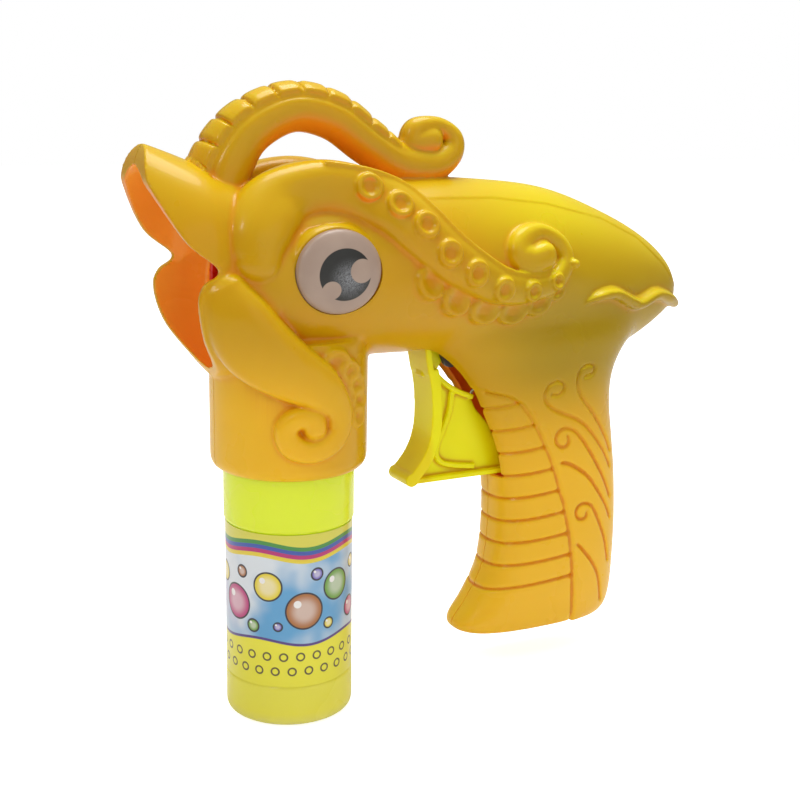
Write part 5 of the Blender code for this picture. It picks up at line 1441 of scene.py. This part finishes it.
# Bubbles on the label: distance round the bottle from the front, height, radius, colour
BUBBLES = [
    (-15.6, 36.0, 5.4, (196, 52, 128)), (-4.6, 42.4, 4.4, (238, 218, 48)), (6.0, 35.2, 5.6, (178, 112, 52)),
    (16.6, 41.4, 4.8, (112, 168, 58)), (23.6, 32.6, 3.2, (196, 52, 128)), (-23.0, 43.0, 3.2, (238, 218, 48)),
    (9.8, 45.8, 2.0, (120, 110, 200)), (-9.2, 30.2, 2.1, (112, 168, 58)), (-13.2, 45.6, 2.0, (178, 112, 52)),
    (25.0, 46.0, 2.2, (238, 218, 48)), (-1.6, 30.6, 1.5, (120, 110, 200)), (13.6, 30.4, 1.8, (238, 218, 48)),
]
# Stripes near the label's top: colour, lower edge
STRIPES = [
    ((238, 216, 60), 50.2), ((190, 40, 120), 51.4), ((60, 90, 180), 52.6), ((70, 150, 70), 53.8),
    ((226, 222, 84), 55.0),
]
# Wave of the stripes: height, turn per millimetre
WAVE = (0.9, 0.216)
# Small rings on the label's foot: pitch, height of the rows, radius
RINGS = (4.86, (17.0, 21.4), 1.1)
LABEL_TINTS = {
    "sky": (96, 170, 222), "cloud": (228, 238, 246), "lilac": (206, 160, 214), "green": (150, 206, 140),
    "outline": (40, 36, 48), "line": (84, 60, 140), "foot": (244, 240, 60), "ring": (92, 84, 50),
}
# Tops of the line over the foot and of the foot itself
LINE_TOP = 26.3
FOOT_TOP = 25.5


def label_finish():
    """Bubbles over soft clouds, with a wave of stripes above a yellow foot."""
    finish = Finish("label_film", 0.3)
    spread, times, tint = finish.spread, finish.times, LABEL_TINTS
    x, y, z = finish.axes()
    along_x, along_y = math.cos(math.radians(LABEL_FRONT)), math.sin(math.radians(LABEL_FRONT))
    ahead = finish.plus(times(x, along_x), times(y, along_y))
    aside = finish.minus(times(y, along_x), times(x, along_y))
    u = times(finish.maths("ARCTAN2", aside, ahead), LABEL_RADIUS)
    half = LABEL_RADIUS * math.pi / 2
    wrapped = finish.minus(finish.maths("MODULO", finish.plus(u, half * 5), half * 2), half)
    v = times(z, 1 / MM)
    colour = finish.over(
        linear(tint["sky"]), (spread(finish.noise(38.0, 3.0), 0.38, 0.6), tint["cloud"]),
        (spread(finish.noise(24.0, 1.0), 0.5, 0.64, 0.0, 0.8), tint["lilac"]),
        (spread(finish.noise(30.0, 0.0), 0.56, 0.68, 0.0, 0.7), tint["green"]))

    def reach(cu, cv):
        return finish.length(finish.minus(wrapped, cu), finish.minus(v, cv))

    def disc(away, radius, edge=0.09):
        return spread(away, radius + edge, radius - edge)

    for cu, cv, radius, rgb in BUBBLES:
        away, core = reach(cu, cv), radius - 0.5
        pale = [c + (1 - c) * 0.45 for c in linear(rgb)[:3]] + [1.0]
        fill = finish.mix(spread(away, core, core * 0.35), linear(rgb), pale)
        colour = finish.over(colour, (disc(away, radius), tint["outline"]))
        colour = finish.mix(disc(away, core), colour, fill)
        glint = disc(reach(cu - radius * 0.36, cv + radius * 0.38), radius * 0.2)
        colour = finish.mix(glint, colour, (0.95, 0.95, 0.95, 1.0))
    level = finish.plus(v, times(finish.maths("SINE", times(wrapped, WAVE[1])), WAVE[0]))
    for rgb, low in STRIPES:
        colour = finish.over(colour, (spread(level, low - 0.06, low + 0.06), rgb))
    for top, name in ((LINE_TOP, "line"), (FOOT_TOP, "foot")):
        colour = finish.over(colour, (spread(level, top, top - 0.2), tint[name]))
    pitch, rows, radius = RINGS
    for number, row in enumerate(rows):
        shift = finish.plus(u, pitch * (0.5 * number + 40))
        across = finish.minus(finish.maths("MODULO", shift, pitch), pitch / 2)
        rim = finish.minus(finish.length(across, finish.minus(v, row)), radius)
        colour = finish.over(colour, (spread(finish.maths("ABSOLUTE", rim), 0.3, 0.2), tint["ring"]))
    finish.set(Base_Color=colour, Coat_Weight=0.4, Coat_Roughness=0.1)
    return finish.material


def finish_inner_nodes():
    """Better materials for the CAD pieces that keep their own shape."""
    finishes = {
        "gearbox": plain_finish("gearbox_plastic_fine", (62, 60, 58), 0.5, scale=400.0),
        "gear": plain_finish(
            "gear_plastic_fine", (230, 228, 220), 0.42, Subsurface_Weight=0.2, Subsurface_Scale=0.002),
        "seal": plain_finish("seal_rubber_fine", (190, 188, 178), 0.75),
        "hose": plain_finish("hose_vinyl_fine", (230, 230, 216), 0.3, Transmission_Weight=0.4),
        "steel": plain_finish("steel_fine", (178, 178, 178), 0.3, 1.0, 0.1, 600.0),
    }
    words = {
        "gear_plate": "gearbox", "fan_housing": "gearbox", "fan_cover": "gearbox", "axle": "steel",
        "pin": "steel", "spring": "steel", "seal": "seal", "hose": "hose", "dip_tube": "hose"}
    for name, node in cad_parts.items():
        kind = next((kind for word, kind in words.items() if word in name and name != "fan_pinion"), "gear")
        for slot in node.material_slots:
            slot.material = finishes[kind]
    return finishes


# Stage

# Light of the surroundings at eye level and overhead
WORLD_LEVELS = (0.25, 0.66)
WORLD_TINT = (1.0, 0.92, 0.86, 1.0)
# Lamps: place, size, power
LAMPS = {
    "key": ((-0.75, -0.5, 0.85), 0.25, 1.7),
    "fill": ((0.3, -0.9, 0.3), 0.8, 0.9),
    "top": ((0.2, 0.1, 1.1), 0.7, 8.0),
}
LAMP_AIM = Vector((0.03, 0, 0.1))
FLOOR_SIZE = 3.0
FLOOR_DROP = 0.0005
# Share of the floor's white that only the camera sees
FLOOR_GLOW = 0.75
# Camera fitted to the photograph: place, directions of its right, up and back, focal length
CAMERA_PLACE = (-0.1417, -0.3342, 0.1763)
CAMERA_RIGHT = (0.8847, -0.4659, 0.0170)
CAMERA_UP = (0.0902, 0.2068, 0.9742)
CAMERA_BACK = (-0.4574, -0.8603, 0.2250)
CAMERA_LENS = 58.5
CAMERA_SENSOR = 36.0


def make_world(scene):
    world = bpy.data.worlds.new("studio")
    scene.world = world
    world.use_nodes = True
    nodes, links = world.node_tree.nodes, world.node_tree.links
    back = nodes["Background"]
    path = nodes.new("ShaderNodeLightPath")
    split = nodes.new("ShaderNodeSeparateXYZ")
    links.new(nodes.new("ShaderNodeTexCoord").outputs["Generated"], split.inputs[0])
    height = nodes.new("ShaderNodeMapRange")
    links.new(split.outputs[2], height.inputs["Value"])
    height.inputs["From Max"].default_value = 0.9
    height.inputs["To Min"].default_value = WORLD_LEVELS[0]
    height.inputs["To Max"].default_value = WORLD_LEVELS[1]
    strength = nodes.new("ShaderNodeMix")
    links.new(height.outputs["Result"], strength.inputs[2])
    strength.inputs[3].default_value = 1.0
    links.new(path.outputs["Is Camera Ray"], strength.inputs[0])
    links.new(strength.outputs[0], back.inputs["Strength"])
    tint = nodes.new("ShaderNodeMix")
    tint.data_type = "RGBA"
    tint.inputs[6].default_value = WORLD_TINT
    tint.inputs[7].default_value = (1.0, 1.0, 1.0, 1.0)
    links.new(path.outputs["Is Camera Ray"], tint.inputs["Factor"])
    links.new(tint.outputs[2], back.inputs["Color"])


def make_floor():
    bm = bmesh.new()
    bmesh.ops.create_grid(bm, x_segments=8, y_segments=8, size=FLOOR_SIZE)
    floor = new_object(bm, "floor")
    finish = Finish("floor_paint", 0.9)
    grain = finish.spread(finish.noise(4.0), 0.3, 0.7, 0.89, 0.91)
    seen = finish.node("ShaderNodeLightPath").outputs["Is Camera Ray"]
    finish.set(Base_Color=grain, Emission_Color=(1.0, 1.0, 1.0, 1.0))
    finish.set(Emission_Strength=finish.times(seen, FLOOR_GLOW))
    floor.data.materials.append(finish.material)
    floor.location.z = -FLOOR_DROP


def make_stage():
    scene = bpy.context.scene
    scene.view_settings.view_transform = "Standard"
    make_world(scene)
    make_floor()
    for name, (place, size, power) in LAMPS.items():
        light = bpy.data.lights.new(name, "AREA")
        light.shape = "DISK"
        light.size = size
        light.energy = power
        lamp = bpy.data.objects.new(name, light)
        lamp.location = place
        lamp.rotation_euler = (LAMP_AIM - Vector(place)).to_track_quat("-Z", "Y").to_euler()
        scene.collection.objects.link(lamp)
    data = bpy.data.cameras.new("camera")
    data.sensor_width = CAMERA_SENSOR
    data.lens = CAMERA_LENS
    camera = bpy.data.objects.new("camera", data)
    axes = Matrix((CAMERA_RIGHT, CAMERA_UP, CAMERA_BACK)).transposed()
    camera.matrix_world = Matrix.Translation(CAMERA_PLACE) @ axes.to_4x4()
    scene.collection.objects.link(camera)
    scene.camera = camera


inner = finish_inner_nodes()
make_shells(shell_finish())
make_eyes(eye_finish())
make_bottle(bottle_finish(), label_finish())
make_trigger(trigger_finish())
make_spring(inner["steel"])
make_ring(plain_finish("ring_plastic_fine", (216, 36, 6), 0.3, Subsurface_Weight=0.3, Subsurface_Scale=0.003))
make_screws(inner["steel"])
make_stage()
